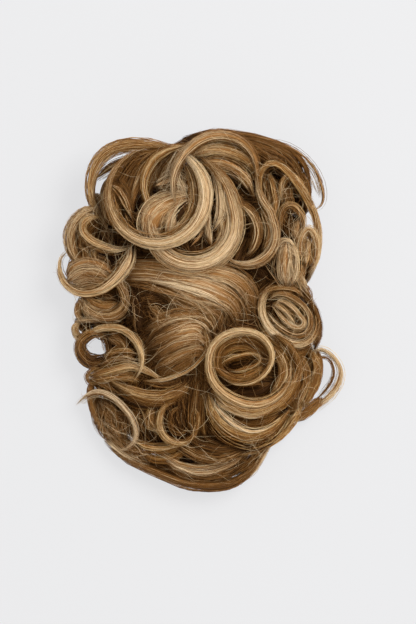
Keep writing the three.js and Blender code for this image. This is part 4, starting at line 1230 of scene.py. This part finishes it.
upperRightSweep = {"node": "upper_right_sweep", "seed": 16}
upperRightSweep["mound"] = dict(x=44, y=74, z=14, wide=34, long=38, tall=30, strands=70, tone=0.16)
upperRightSweep["locks"] = [
    # back hair
    neat([(-22.5, 105.5, 34), (-8.5, 110.5, 36), (8.5, 113.5, 37), (26.5, 112, 36), (44, 107, 33),
        (58, 99.5, 29), (66.5, 88, 26), (69.5, 75.5, 23)], [3, 5, 8, 11, 14, 15, 14, 10],
        [6, 8, 10, 12, 16, 20, 22, 22], [0.34, 0.34, 0.34, 0.32, 0.28, 0.26], 0.63),
    # back hair, lower
    strip([(24, 112.5, 38), (37.5, 106.5, 36), (49.5, 98, 34), (60, 88, 32), (67.5, 75.5, 29)],
        [6, 9, 9, 8, 6], 8, 0.24, 0.56),
    # back hair, edge
    neat([(-12, 114.5, 37), (5.5, 118.5, 37), (22.5, 118, 36), (42, 114, 34), (57.5, 108, 30),
        (67.5, 99.5, 27), (72.5, 88, 24), (73, 74.5, 22)], [2.5, 3.5, 4, 4.5, 5, 5.5, 5],
        [6, 7, 8, 10, 14, 18, 18], 0.34, 0.63),
    # back hair, right
    neat([(64, 94.5, 27), (69.5, 83.5, 25), (69.5, 71.5, 23), (66.5, 58.5, 22)], [8, 10, 9, 5],
        [14, 15, 12, 5], 0.28, 0.63),
    # hook one
    strip([(42, 71.5, 38), (39.5, 81.5, 40), (40, 90.5, 42), (44.5, 96.5, 44), (50.5, 97.5, 45),
        (56.5, 93.5, 44), (63.5, 86, 42), (70, 76.5, 38), (74.5, 68, 34), (77.5, 58.5, 30)],
        [2.5, 3, 3, 3, 3, 4, 5, 5.5, 5], 6, 0.6, 0.79),
    # hook two
    strip([(54.5, 70.5, 37), (53.5, 79.5, 38), (55.5, 86.5, 40), (60, 89.5, 41), (65.5, 86, 40),
        (70.5, 78.5, 38), (76, 69.5, 35)], [2, 2.5, 3, 3, 3.5, 4, 3], 6, 0.54, 0.79),
    # inside hook one
    strip([(45.5, 92, 37), (48.5, 82.5, 37), (50.5, 72, 37), (50, 59.5, 36)], [3, 5, 6, 4], 5, 0.62, 0.86),
    # inside hook one, dark
    strip([(44, 88, 34), (46.5, 76, 34), (45.5, 64, 34)], 8, 5, 0.4, 0.63),
    # inside hook two
    strip([(57.5, 84, 35), (58, 75.5, 35), (61.5, 67.5, 35)], 7, 5, 0.36, 0.71),
    # hook three
    strip([(54, 52, 35), (53.5, 60.5, 36), (56, 67.5, 37), (61.5, 69.5, 38), (66.5, 65.5, 37),
        (69.5, 58.5, 36), (68.5, 50.5, 35)], [3, 3.5, 3.5, 3.5, 3, 3], 7, 0.6, 0.71),
    # inside hook three
    strip([(60, 62.5, 31), (60, 54.5, 31), (58.5, 46.5, 31)], 8, 6, 0.22, 0.56),
    # outer wisp
    lock([(44, 74, 37.6, 38.6, 92, 0), (75, 74, 7.3, 7.3, 0, -120)], [38, 30, 24, 24], [2.4, 2.2, 2, 1.8],
        3, 0.5, 0.71, look=dict(fray=0.08, flyaway=0.05), alone=True),
    # behind the hooks
    neat([(58.5, 89.5, 16), (64.5, 78.5, 17), (66.5, 68, 17), (65.5, 56, 17)], [9, 12, 11, 8], 10, 0.22,
        0.63),
    # behind the hooks, left
    neat([(54, 74.5, 16), (58, 64, 16), (60, 52, 16)], [10, 12, 10], 10, 0.12, 0.63),
    # under the hooks
    neat([(29.5, 96, 16), (41.5, 92.5, 16), (53.5, 86.5, 16), (62.5, 78.5, 16)], [14, 17, 16, 12], 8, 0.12,
        0.63),
    # sheer hair
    single([(67.5, 100.5, 25), (74, 92.5, 24), (78, 83.5, 23), (80, 74.5, 22)], [5, 7, 6, 3], 6, 0.56, 0.56,
        look={**thinLook, "perMm": 2.2, "fewest": 16}),
    # back fall, upper
    neat([(-18.5, 107.5, 24), (-6.5, 112, 25), (6.5, 114, 25), (26.5, 113.5, 24), (44.5, 108.5, 22),
        (59.5, 101.5, 20), (68, 91.5, 18)], [5, 7, 7, 7, 7, 7, 5], 15, 0.34, 0.66),
    # back fall, lower
    neat([(-26.5, 102.5, 11), (-10.5, 108, 11), (6.5, 110.5, 11), (26.5, 110, 11), (44, 105.5, 10),
        (58, 97.5, 10), (66.5, 86.5, 10)], [6, 8, 8, 8, 8, 8, 6], 18, 0.26, 0.66),
    # back fall, side
    neat([(54.5, 101.5, 10), (63.5, 94.5, 11), (69.5, 85.5, 12), (70.5, 75.5, 14), (70, 65.5, 17)],
        [2, 6, 7, 5, 1.5], [10, 17, 18, 13, 4], 0.3, 0.66),
]

rightRinglets = {"node": "right_ringlets", "seed": 17}
rightRinglets["mound"] = dict(x=62, y=28, z=12, wide=18, long=46, tall=28, strands=62, tone=0.16)
rightRinglets["locks"] = [
    # pale ringlet
    strip([(57.5, 46.5, 37), (56.5, 36, 37), (56.5, 24.5, 35), (57.5, 14, 32)], [7, 11, 11, 6], 9, 0.72,
        0.44),
    # pale ringlet, right
    strip([(60.5, 45.5, 36), (64, 36, 36), (64, 25.5, 34), (60, 14.5, 31)], [3, 4.5, 4.5, 3], 8, 0.76,
        0.55),
    # pale ringlet, hook
    strip([(51.5, 36, 34), (52, 42.5, 36), (56, 46, 38), (60.5, 44.5, 38), (63.5, 38.5, 36)],
        [2, 3, 3, 3, 2], 5, 0.76, 0.44),
    # small loop
    strip([(67.5, 32, 30), (66.5, 42.5, 33), (68.5, 50.5, 35), (72.5, 54, 35), (76.5, 49.5, 34),
        (78, 40, 31), (76, 30.5, 28), (71.5, 24.5, 26)], [3, 3.5, 3.5, 3.5, 4, 4, 3.5, 3], 7, 0.74, 0.7),
    # inside small loop
    strip([(72, 48, 31), (72, 37.5, 30), (70.5, 27.5, 28)], [5, 7, 4], 6, 0.68, 0.89),
    # edge lock
    neat([(64.5, 84, 38), (70.5, 74.5, 35), (75.5, 65.5, 31), (78.5, 54.5, 27), (79, 44.5, 23),
        (77.5, 34.5, 19), (74, 24.5, 16), (70, 14.5, 13)], [3, 4.5, 5, 4.5, 4.5, 4.5, 4, 2.2],
        [6, 8, 11, 15, 16, 14, 10, 5], [0.62, 0.62, 0.66, 0.74, 0.74, 0.66], 0.66),
    # between
    strip([(67.5, 62, 33), (64.5, 53.5, 33), (66, 42.5, 32)], [4, 6, 4], 7, 0.6, 0.62),
    # lower fall
    strip([(68.5, 30.5, 27), (66.5, 20.5, 26), (69.5, 12, 24)], [5, 7, 4], 9, 0.6, 0.7),
    # lower strand
    strip([(62, 28, 31), (68.5, 19.5, 28), (72, 11.5, 25)], [2, 2.5, 2], 3, 0.72, 0.48),
    # dark side, its low tone painted shade of the hollow
    hollow([(45.5, 36, 29), (48, 26.5, 28), (53.5, 16, 28)], 9, 6, -0.02, 0.55),
    # wisp
    thin([(41.5, 32.5, 34), (48.5, 22, 35), (56, 13.5, 34), (64, 17.5, 33)], 1.0, 1.4, 0.64, 0.4),
    # wisp, lower
    thin([(57.5, 25.5, 35), (46.5, 16, 35), (37.5, 8, 36), (30.5, -4, 36)], 1.0, 1.4, 0.6, 0.4),
    # behind the ringlets
    neat([(64, 58.5, 14), (68.5, 46.5, 14), (70.5, 34.5, 13), (69.5, 22.5, 12), (67.5, 13.5, 12)],
        [10, 13, 13, 12, 9], 12, 0.22, 0.62),
    # hollow beside the ringlets, its low tone painted shade
    hollow([(30.5, 32, 31), (38.5, 26.5, 31), (46.5, 19.5, 30)], [12, 14, 12], 5, -0.1, 0.55),
    # fill at the notch
    neat([(64.5, 20, 14), (70, 13.5, 14), (74.5, 5.5, 14)], [6, 7, 6], 10, 0.34, 0.62),
]

leftRinglets = {"node": "left_ringlets", "seed": 18}
leftRinglets["mound"] = dict(x=-62, y=8, z=9, wide=30, long=60, tall=18, strands=62, tone=0.16)
leftRinglets["locks"] = [
    # hanging lock
    strip([(-45.5, 44.5, 36), (-46.5, 34.5, 36.5), (-52.5, 24.5, 35.5), (-61.5, 16, 34), (-72, 11.5, 32),
        (-82, 12, 29), (-90, 17.5, 27), (-94.5, 26.5, 25), (-93.5, 36, 24), (-87.5, 42, 23)],
        [6, 7.5, 6.5, 4.5, 3.5, 2.5, 1.8, 1.2], 5, [0.86, 0.82, 0.74, 0.7, 0.68], 0.58,
        look=dict(root=0.8)),
    # puff one, with little painted light on its crest
    strip([(-89.5, 22.5, 22), (-82.5, 29.5, 26), (-73.5, 31.5, 28), (-64, 28.5, 29), (-56.5, 22, 29)],
        [5, 9, 10, 9, 5], 10, [0.72, 0.66, 0.56, 0.5], 0.43, look=dict(crestPaintedLight=0.04)),
    # puff two, with little painted light on its crest
    strip([(-89.5, 18.5, 21), (-80, 24.5, 26), (-70, 25.5, 28), (-59.5, 20.5, 29)], [5, 12, 12, 7], 12,
        [0.8, 0.74, 0.62, 0.52], 0.43, look=dict(crestPaintedLight=0.04)),
    # puff three, with little painted light on its crest
    strip([(-86, 14.5, 20), (-76.5, 19.5, 24), (-66.5, 19.5, 27), (-57.5, 15.5, 28)], [5, 10, 10, 5], 10,
        [0.72, 0.64, 0.52, 0.46], 0.51, look=dict(crestPaintedLight=0.04)),
    # round curl
    strip([(-62, 15.5, 30), (-54.5, 17.5, 31), (-50, 10.5, 31), (-50.5, 2, 30), (-58, -4, 28),
        (-68, -3.5, 27), (-76.5, 2.5, 25), (-80, 10, 23)], [4, 6.5, 7, 7, 7, 7, 6, 4], 10,
        [0.5, 0.52, 0.54, 0.58, 0.62, 0.66], 0.54),
    # inside the curl
    strip([(-77.5, 8.5, 25), (-70, 4, 26), (-61.5, 2, 27), (-54, 5.5, 28)], [4, 7, 7, 4], 8, 0.56, 0.77),
    # curl's floor
    strip([(-69.5, 10, 22), (-61.5, 9.5, 23), (-55.5, 6.5, 24)], 8, 6, 0.24, 0.65),
    # small ringlet
    neat([(-76, 9.5, 21), (-81, 3.5, 19), (-81.5, -3.5, 18), (-76.5, -8, 20)], [3, 5, 5, 4], 14, 0.56,
        0.62),
    # small ringlet, lower
    neat([(-79.5, -6.5, 18), (-83.5, -12, 16), (-81.5, -18, 15), (-75.5, -18.5, 17)], [3, 5, 5, 4], 16,
        0.68, 0.65),
    # pale cross lock
    strip([(-83.5, -7.5, 22), (-73.5, -6.5, 24), (-63.5, -6, 26), (-52.5, -8, 27)], [2, 3, 3.2, 2], 4, 0.84,
        0.47),
    # pale short lock
    strip([(-78.5, 7.5, 24), (-76.5, 0, 24), (-72.5, -6, 24)], [2, 3, 2], 4, 0.74, 0.51),
    # golden lock
    strip([(-76.5, -18, 22), (-71.5, -14, 26), (-63.5, -11.5, 29), (-54, -12, 32), (-46, -16.5, 34),
        (-40, -24.5, 35), (-38, -34, 35), (-40.5, -42.5, 34), (-46.5, -50, 32)],
        [3.5, 4.5, 4.6, 4.2, 3.6, 3.2, 2.8, 2.4, 1.4], 5, [0.84, 0.78, 0.74, 0.76, 0.74], 0.84),
    # left ring
    neat([(-62.5, -17, 22), (-71.5, -15.5, 21), (-78.5, -20, 18), (-80, -26.5, 15), (-76, -33.5, 13),
        (-68.5, -35.5, 12), (-61.5, -31.5, 12), (-58.5, -24, 13)], [6, 7, 7.5, 9, 11, 11, 9],
        [18, 20, 22, 22, 22, 20, 18], [0.5, 0.46, 0.42, 0.3, 0.22, 0.22, 0.28], 0.69),
    # beside the ring
    strip([(-60, -16, 26), (-53.5, -20, 27), (-48, -28, 27)], 7, 7, 0.34, 0.65),
    # flow to the right
    strip([(-64.5, -31.5, 22), (-56, -28, 26), (-48, -27.5, 28), (-40.5, -30, 29)], [3, 5.5, 5.5, 4], 8,
        0.42, 0.87),
    # flow below
    strip([(-67.5, -38, 21), (-56.5, -33.5, 25), (-46.5, -32, 28), (-39.5, -34.5, 29)], [3, 5, 5, 4], 8,
        0.36, 0.83),
    # left band
    strip([(-75.5, -43.5, 17), (-66.5, -42.5, 21), (-56.5, -39.5, 26), (-46.5, -37.5, 28),
        (-38.5, -39.5, 30), (-32.5, -42.5, 32), (-26.5, -46, 33), (-19.5, -46, 34)],
        [5, 7, 7, 6.5, 5, 3.5, 2.4, 1.4], [9, 9, 9, 9, 8, 6, 4, 3],
        [0.48, 0.52, 0.6, 0.72, 0.78, 0.7, 0.66, 0.64], 0.92, look=dict(fray=0.15, root=0.8)),
    # left band, lower
    strip([(-76, -47.5, 14), (-66, -46, 19), (-54.5, -44.5, 23), (-44, -46, 24), (-35.5, -51.5, 18)],
        [5, 6, 6, 5, 4], 11, 0.5, 0.93, look=dict(fray=0.15, root=0.8)),
    # behind the small ringlets
    neat([(-74.5, 14.5, 11), (-76.5, 4, 11), (-76.5, -6.5, 11), (-74, -14.5, 12)], [9, 11, 11, 8], 13, 0.22,
        0.65),
    # in the ring
    single([(-66, -15.5, 19), (-62, -22, 18), (-62, -30.5, 16)], [5, 5, 5], 9, 0.3, 0.65),
    # under the round curl
    single([(-58.5, 6.5, 20), (-56, -2.5, 20), (-58.5, -12, 20)], 16, 8, 0.24, 0.65),
    # fill behind the ring
    neat([(-82.5, -4.5, 11), (-78.5, -10, 11), (-72.5, -14.5, 12)], [7, 9, 8], 7, 0.36, 0.68),
    # right wall of the ring
    neat([(-61.5, -17.5, 15), (-57.5, -24, 14), (-58, -32, 13)], 6, 10, 0.26, 0.65),
    # left band, end
    single([(-66, -38.5, 20), (-72, -40, 18), (-75.5, -44.5, 16), (-72.5, -49.5, 15), (-66, -49.5, 17)],
        [2, 3, 3.5, 3, 2], 6, 0.48, 0.78),
]

lowerLeftCurls = {"node": "lower_left_curls", "seed": 19}
lowerLeftCurls["mound"] = dict(x=-34, y=-60, z=9, wide=60, long=40, tall=18, strands=62, tone=0.16)
lowerLeftCurls["locks"] = [
    # smile
    strip([(-59.5, -47.5, 25), (-50.5, -52, 28), (-40, -56.5, 30), (-28.5, -58.5, 31), (-18.5, -56.5, 31),
        (-9.5, -51.5, 29), (-1.5, -41.5, 24), (2.5, -32, 18)], [3, 6.5, 9, 10, 9, 8, 7, 6], 9,
        [0.58, 0.58, 0.54, 0.46, 0.4, 0.34, 0.28], 0.86, look=dict(fray=0.12, tip=0.7)),
    # smile, upper
    strip([(-38.5, -47.5, 30), (-26.5, -49.5, 31), (-16, -47.5, 30), (-5.5, -40.5, 26), (0, -33.5, 22)],
        [2, 3.5, 3.5, 3], 5, 0.36, 0.67, look=dict(fray=0.12)),
    # smile, lower
    strip([(-58.5, -53.5, 20), (-42.5, -61.5, 25), (-28, -64, 26), (-15.5, -61.5, 25), (-6, -54.5, 22)],
        [4, 7, 7, 6], 9, 0.22, 0.75),
    # small ring
    strip([(-14.5, -60, 28), (-22.5, -63.5, 29), (-26.5, -70.5, 29), (-26.5, -78.5, 29), (-22, -85.5, 28),
        (-14.5, -88.5, 27), (-6.5, -86.5, 26), (-1.5, -81.5, 25)], [2, 3, 3.5, 3.5, 3.5, 3.5, 3, 2], 7,
        [0.48, 0.62, 0.72, 0.72, 0.7, 0.6], 0.86),
    # small ring, inner
    single([(-12, -63.5, 26), (-18, -68, 26), (-20, -74.5, 25), (-17.5, -81.5, 24), (-11.5, -82, 24),
        (-6.5, -76, 25)], [2, 2.4, 2.4, 2.4, 2], 8, 0.22, 0.75),
    # fall
    strip([(-0.5, -34.5, 30), (-2.5, -52, 30), (-3.5, -65.5, 28), (-3.5, -76.5, 26), (-1.5, -90, 22)],
        [6, 9, 11, 10, 8], 8, [0.28, 0.22, 0.18], 0.75, look=dict(fray=0.12)),
    # fall, left
    single([(-7.5, -49.5, 28), (-9.5, -61.5, 26), (-8, -73.5, 23), (-4.5, -84.5, 21)], [4, 6, 6, 4], 7,
        0.16, 0.67),
    # fall, right
    strip([(4.5, -40, 29), (2, -60, 28), (2, -76, 25), (5.5, -90, 20)], [5, 6, 6, 5], 8, 0.28, 0.83,
        look=dict(fray=0.12)),
    # short fall
    strip([(-32, -61.5, 24), (-32.5, -72, 24), (-28.5, -81.5, 24)], [5, 7, 5], 7, 0.44, 0.9),
    # pale ring
    single([(-83.5, -64, 16), (-78, -58.5, 19), (-70, -54.5, 22), (-60.5, -56.5, 23), (-52, -63.5, 23),
        (-45.5, -72, 22), (-42.5, -81.5, 20), (-45.5, -90, 18), (-52.5, -94, 16), (-60.5, -93.5, 13)],
        [0.8, 1.8, 2.8, 3.4, 3.9, 4.2, 4, 4, 3.6, 2.4], 6, 0.8, 0.24, look=dict(root=0.2)),
    # mat
    loose([(-66.5, -61.5, 13), (-62, -70.5, 14), (-57.5, -80, 14), (-52, -87.5, 13)], [9, 12, 12, 9], 9,
        0.3, 0.6),
    # mat, right
    loose([(-64, -59.5, 14), (-56.5, -68, 15), (-50.5, -78, 15), (-49.5, -87.5, 14)], [10, 14, 14, 9], 8,
        0.32, 0.6),
    # left edge
    neat([(-71.5, -45.5, 12), (-73.5, -54, 11), (-72.5, -64, 9), (-68.5, -74, 8), (-63.5, -84.5, 8)],
        [4, 5.5, 5.5, 5, 4.5], 16, 0.5, 0.71),
    # fuzz above the ring
    loose([(-72, -48, 16), (-64, -50.5, 18), (-54.5, -55.5, 20), (-45.5, -61.5, 21)], [7, 8, 8, 6], 8, 0.46,
        0.6),
    # fuzz right of the ring
    loose([(-44, -61.5, 19), (-37.5, -70.5, 20), (-34.5, -81.5, 20)], 8, 7, 0.52, 0.6),
    # thin gold
    strip([(-36.5, -77.5, 22), (-30, -80, 23), (-24, -83.5, 24)], 1.6, 2, 0.66, 0.9),
    # red lock
    single([(-45.5, -86.5, 14), (-36, -91.5, 18), (-25.5, -92.5, 20), (-14.5, -90.5, 20),
        (-5.5, -86.5, 18)], [3, 5.5, 6, 5, 4], 6, 0.58, 0.98, look=dict(fray=0.12, root=0.8, tip=0.8)),
    # red lock, lower
    single([(-40, -94.5, 13), (-30.5, -99.5, 16), (-20, -99.5, 18), (-9.5, -93.5, 18)], [4, 5.5, 5.5, 4], 7,
        0.44, 0.98, look=dict(fray=0.12, root=0.8, tip=0.8)),
    # fuzz below the ring
    loose([(-48.5, -90, 14), (-39.5, -95.5, 15), (-30.5, -100, 14)], 8, 8, 0.42, 0.53),
    # mat base
    neat([(-70, -53.5, 7), (-68.5, -66, 7), (-63.5, -80, 7), (-54.5, -91.5, 7)], [9, 12, 12, 9], 8, 0.4,
        0.67),
    # mat base, right
    single([(-65.5, -54.5, 9), (-58, -65.5, 9), (-52, -78.5, 9), (-48.5, -90.5, 9)], [10, 15, 15, 10], 8,
        0.42, 0.67),
    # mat base, low
    neat([(-61.5, -77.5, 8), (-54, -85.5, 8), (-45.5, -93.5, 9), (-36, -99.5, 10)], [9, 12, 12, 9], 8, 0.34,
        0.67),
    # net
    net([(-68, -60, 14), (-62, -70, 15), (-56.5, -80, 15), (-50.5, -88, 14)], [8, 9, 9, 8], 5, 0.56, 0.39),
    # net, right
    net([(-66.5, -58.5, 16), (-58.5, -66.5, 16), (-52.5, -77.5, 16), (-49.5, -88, 15)], [8, 9, 9, 8], 5,
        0.5, 0.39),
    # net, low
    net([(-51.5, -88.5, 15), (-42.5, -94, 16), (-33.5, -100, 16)], [7, 8, 7], 5, 0.56, 0.35),
    # fill under the band
    neat([(-71.5, -45.5, 8), (-66.5, -52, 8), (-61.5, -57.5, 9)], 8, 6, 0.26, 0.67),
    # pale ring, outer strand
    single([(-80, -62, 15), (-70.5, -56.5, 20), (-59.5, -58.5, 21), (-50, -66, 21), (-43.5, -76, 19),
        (-42, -86, 17), (-47.5, -92.5, 15)], [0.8, 1.2, 1.5, 1.6, 1.6, 1.4], 2, 0.72, 0.35),
    # small ring, right
    single([(-13.5, -88.5, 27), (-6, -85.5, 28), (-2, -78, 29), (-1.5, -69.5, 30), (-5.5, -62.5, 30)],
        [2.5, 3, 3, 3, 2], 5, 0.4, 0.83),
    # small ring, core
    single([(-14.5, -65.5, 24), (-16.5, -72.5, 24), (-13.5, -80, 24)], [5, 7, 5], 4, 0.06, 0.67),
]

napeSweep = {"node": "nape_sweep", "seed": 20}
napeSweep["mound"] = dict(x=4, y=-90, z=8, wide=58, long=26, tall=15, strands=70, tone=0.16)
napeSweep["locks"] = [
    # nape edge
    neat([(-64.5, -87.5, 7), (-54, -96.5, 8), (-38, -104.5, 9), (-22.5, -110.5, 10), (-6.5, -116.5, 11),
        (8, -117.5, 12), (22.5, -115.5, 12), (35.5, -106.5, 12), (44, -94.5, 12)],
        [4.5, 5.5, 7, 8, 9, 9, 9, 8, 6.5], [10, 13, 17, 20, 20, 20, 20, 18],
        [0.4, 0.44, 0.46, 0.46, 0.38, 0.3, 0.3, 0.34], 0.6),
    # pale edge, left
    neat([(-64, -86.5, 10), (-48.5, -98.5, 11), (-29.5, -108.5, 12)], [2, 3, 2], 9, 0.74, 0.26),
    # pale band
    single([(-26.5, -98.5, 17), (-16, -104.5, 20), (-3.5, -108.5, 22), (8.5, -108, 22.5), (20, -104, 22),
        (30.5, -96.5, 20)], [2.4, 4, 5, 4.6, 3.6, 2.4], 5, [0.56, 0.72, 0.74, 0.62, 0.46, 0.36], 0.34,
        grade=0),
    # dark band
    strip([(-24.5, -103.5, 14), (-10, -110, 15), (5.5, -111.5, 16), (19.5, -108, 16), (32.5, -100, 16)],
        [4, 7, 8, 7, 5], 10, 0.26, 0.52),
    # edge, right
    neat([(25.5, -115.5, 9), (35.5, -107.5, 10), (42.5, -96.5, 11), (48.5, -87.5, 12)], [3, 4, 4, 3.5], 14,
        0.62, 0.49),
    # upper band
    strip([(-21.5, -86.5, 17), (-10.5, -92.5, 21), (-0.5, -97.5, 23), (10.5, -99.5, 24), (22.5, -96.5, 23),
        (34.5, -90.5, 20)], [5, 8, 9, 8, 6, 5], 8, [0.44, 0.4, 0.34, 0.3, 0.28], 0.64,
        look=dict(fray=0.12, root=0.8, tip=0.8)),
    # upper band, second
    strip([(-9.5, -84, 19), (0.5, -90, 23), (11.5, -92.5, 24), (22.5, -91.5, 23), (36, -85.5, 19)],
        [5, 7, 7, 7, 5], 8, 0.26, 0.6, look=dict(fray=0.12, root=0.8, tip=0.8)),
    # under the barrel
    strip([(0, -80, 20), (6.5, -86.5, 22), (17.5, -90.5, 22), (29.5, -90.5, 22), (42, -84.5, 19),
        (53.5, -74.5, 18)], [4, 7, 7, 7, 7, 5], 10, 0.12, 0.6, look=dict(fray=0.12, root=0.8, tip=0.8)),
    # under the barrel, edge
    neat([(21.5, -97.5, 19), (36, -93.5, 18), (46.5, -87.5, 17), (57.5, -78.5, 16)], [3, 5, 5, 4], 12, 0.52,
        0.64),
    # left of the nape
    neat([(-64.5, -78, 6), (-56.5, -88.5, 7), (-46, -98.5, 8), (-30.5, -106.5, 9)], [6, 9, 9, 6], 13, 0.54,
        0.52),
    # under the pale band
    neat([(-41.5, -95.5, 9), (-29.5, -102.5, 10), (-15.5, -108, 11), (-0.5, -112, 12), (14.5, -110.5, 12)],
        [8, 11, 11, 10, 8], 10, 0.28, 0.52),
    # under the right edge
    neat([(21.5, -110.5, 10), (32.5, -102.5, 11), (40, -93.5, 12), (47.5, -85.5, 13)], [7, 8, 8, 7], 12,
        0.34, 0.52),
    # pale band, upper
    single([(-28, -94.5, 19), (-16.5, -101.5, 21), (-4.5, -105, 22.5), (8, -104.5, 23), (19.5, -100.5, 23),
        (30, -94, 21)], [1.5, 2, 2.4, 2, 1.5, 1.5], 4, 0.62, 0.45),
    # under the bands
    neat([(8, -104, 12), (22, -101.5, 13), (34.5, -94.5, 13)], [9, 10, 8], 8, 0.24, 0.52),
]

for section in (crownCurls, barrelCurl, centreSwirl, rightSpiral, upperLeftCurls, upperRightSweep,
                rightRinglets, leftRinglets, lowerLeftCurls, napeSweep):
    sectionHair(section, curlMaterial)


# Stray hairs over the curls

strayLook = {
    "seed": 31,
    "count": 620,
    "square": 1.5,           # squares of the height field
    "half": 130,             # half the side of the field
    "steps": 20,
    "length": (12, 44),
    "startAbove": 8,         # a hair starts from a corner higher than this
    "bend": 0.060,           # spread of the turn, radians for each mm
    "leave": 0.45,           # spread of its heading about the hair it leaves, radians
    "wave": 0.25,
    "bare": 1,               # a square lower than this holds no hair
    "outside": 0.12,         # share of a hair that may lie past the outline
    "sag": 6,                # how far below its mean height a hair may follow what it lies on
    "window": 7,             # steps that its heights are smoothed over
    "lift": (0.3, 2.4),
    "dip": 2.5,              # how far its ends go down into the hair
    "dipFrom": 0.4,          # where that begins, share of its length from its middle
    "thick": (0.13, 0.22),
    "ends": (0.3, 6),
    "pale": 0.65,            # share of pale ones, then the tones of these and of the others
    "paleTone": (0.68, 0.95),
    "darkTone": (0.3, 0.6),
    "warm": 0.45,
    "combPlace": 5.1,
}


# stray hairs: lines whose heading turns evenly, laid over the height field, the highest corner in each
# square, and smoothed; a hair that leaves the outline by much is left out
def strayHairs(look, material):
    rng = np.random.default_rng(look["seed"])
    points = np.concatenate(hairPoints)
    cells = int(2 * look["half"] / look["square"])

    # the square of the field that a place lies in
    def cell(place):
        return tuple(np.clip(((place[..., axis] + look["half"]) / look["square"]).astype(int), 0, cells - 1)
                     for axis in (0, 1))

    field = np.zeros((cells, cells))
    np.maximum.at(field, cell(points), points[:, 2])
    each = (look["count"], 1)
    high = np.flatnonzero(points[:-strandSides, 2] > look["startAbove"])
    chosen = high[rng.integers(0, len(high), look["count"])]
    start = points[chosen, :2]
    along = points[chosen + strandSides, :2] - start  # on a strand, to the same corner of its next ring
    t = np.linspace(-0.5, 0.5, look["steps"])[None]
    length = rng.uniform(*look["length"], each)
    heading = np.arctan2(along[:, 1:], along[:, :1]) + rng.normal(0, look["leave"], each)
    heading = heading + rng.normal(0, look["bend"], each) * length * t
    heading = heading + look["wave"] * wander(rng, np.repeat(t, look["count"], 0))
    step = (length / look["steps"])[..., None] * np.stack([np.cos(heading), np.sin(heading)], -1)
    flat = start[:, None] + np.cumsum(step, axis=1) - step.sum(axis=1, keepdims=True) / 2
    height = field[cell(flat)]
    kept = (height < look["bare"]).mean(axis=1) < look["outside"]
    flat, height, t = flat[kept], height[kept], np.repeat(t, kept.sum(), 0)
    each = (len(flat), 1)
    height = np.maximum(height, height.mean(axis=1, keepdims=True) - look["sag"])
    height = smoothed(height.T, look["window"]).T
    dip = look["dip"] * softStep(np.abs(t), look["dipFrom"], 0.5)
    paths = np.concatenate([flat, (height + rng.uniform(*look["lift"], each) - dip)[..., None]], -1)
    radius = rng.uniform(*look["thick"], each) / 2 * taper(0.5 - np.abs(t), *look["ends"])
    pale = rng.random(each) < look["pale"]
    paleTone = rng.uniform(*look["paleTone"], each)
    darkTone = rng.uniform(*look["darkTone"], each)
    tone = np.where(pale, paleTone, darkTone) + 0 * t
    comb = np.stack([0 * t + look["combPlace"], 0 * t + np.arange(len(flat))[:, None], t], -1)
    strands = strandBatch(paths, upright, radius, tone, look["warm"], comb)
    hairObject("stray_hairs", [strands], material)


strayHairs(strayLook, curlMaterial)


# Floor, light and camera

studio = {
    "floor": (0.10, 0.10, 0.10, 1),
    "floorRough": 0.9,
    "floorGlow": (0.66, 0.66, 0.67, 1),  # keeps the floor's shadows faint, as in a light tent
    "floorGlowPower": 1.0,
    "floorSize": 6.0,
    "sky": (1.0, 1.0, 1.0, 1),
    "skyStrength": 0.85,
    "keySize": 1.0,
    "keyPlace": (0.9, 0.7, 1.6),
    "keyPower": 40.0,
}


# a square of pale paper that glows a little
def makeFloor(look):
    half = look["floorSize"] / 2
    corners = [(-half, -half, 0), (half, -half, 0), (half, half, 0), (-half, half, 0)]
    mesh = bpy.data.meshes.new("floor")
    mesh.from_pydata(corners, [], [(0, 1, 2, 3)])
    material, shader = newMaterial("paper_floor")
    shader.inputs["Base Color"].default_value = look["floor"]
    shader.inputs["Roughness"].default_value = look["floorRough"]
    shader.inputs["Emission Color"].default_value = look["floorGlow"]
    shader.inputs["Emission Strength"].default_value = look["floorGlowPower"]
    mesh.materials.append(material)
    floor = bpy.data.objects.new("floor", mesh)
    bpy.context.scene.collection.objects.link(floor)


# an even sky, and a soft lamp tilted and turned from its place to the middle of the table
def makeLight(look):
    world = bpy.data.worlds.new("studio")
    world.use_nodes = True
    sky = world.node_tree.nodes["Background"]
    sky.inputs["Color"].default_value = look["sky"]
    sky.inputs["Strength"].default_value = look["skyStrength"]
    bpy.context.scene.world = world
    lamp = bpy.data.lights.new("key", "AREA")
    lamp.size = look["keySize"]
    lamp.energy = look["keyPower"]
    key = bpy.data.objects.new("key", lamp)
    x, y, z = look["keyPlace"]
    key.location = (x, y, z)
    key.rotation_euler = (np.arctan2(np.hypot(x, y), z), 0, np.arctan2(y, x) + np.pi / 2)
    bpy.context.scene.collection.objects.link(key)


cameraView = {
    "imageHigh": 624,           # pixels of the picture
    "mmPerPixel": 2 / 3,
    "middle": (5.33, -1.33),    # mm, what the middle of the picture looks at
    "far": 4.0,                 # metres above the table
    "level": 0.03,              # height at which the scale holds
    "sensor": 36.0,
    "clipEnd": 100,
}


# a camera that looks straight down: lens = sensor x distance / height of what it sees
def makeCamera(view):
    seenHigh = view["imageHigh"] * view["mmPerPixel"] * mm
    data = bpy.data.cameras.new("camera")
    data.sensor_fit = "VERTICAL"
    data.sensor_height = view["sensor"]
    data.lens = view["sensor"] * (view["far"] - view["level"]) / seenHigh
    data.clip_end = view["clipEnd"]
    camera = bpy.data.objects.new("camera", data)
    camera.location = (placeX + view["middle"][0] * mm, placeY + view["middle"][1] * mm, view["far"])
    bpy.context.scene.collection.objects.link(camera)
    bpy.context.scene.camera = camera


makeFloor(studio)
makeLight(studio)
makeCamera(cameraView)
bpy.context.scene.view_settings.view_transform = "Standard"
print("the floor, the light and the camera stand")

print("the hair has", sum(triangleCount), "triangles in all")
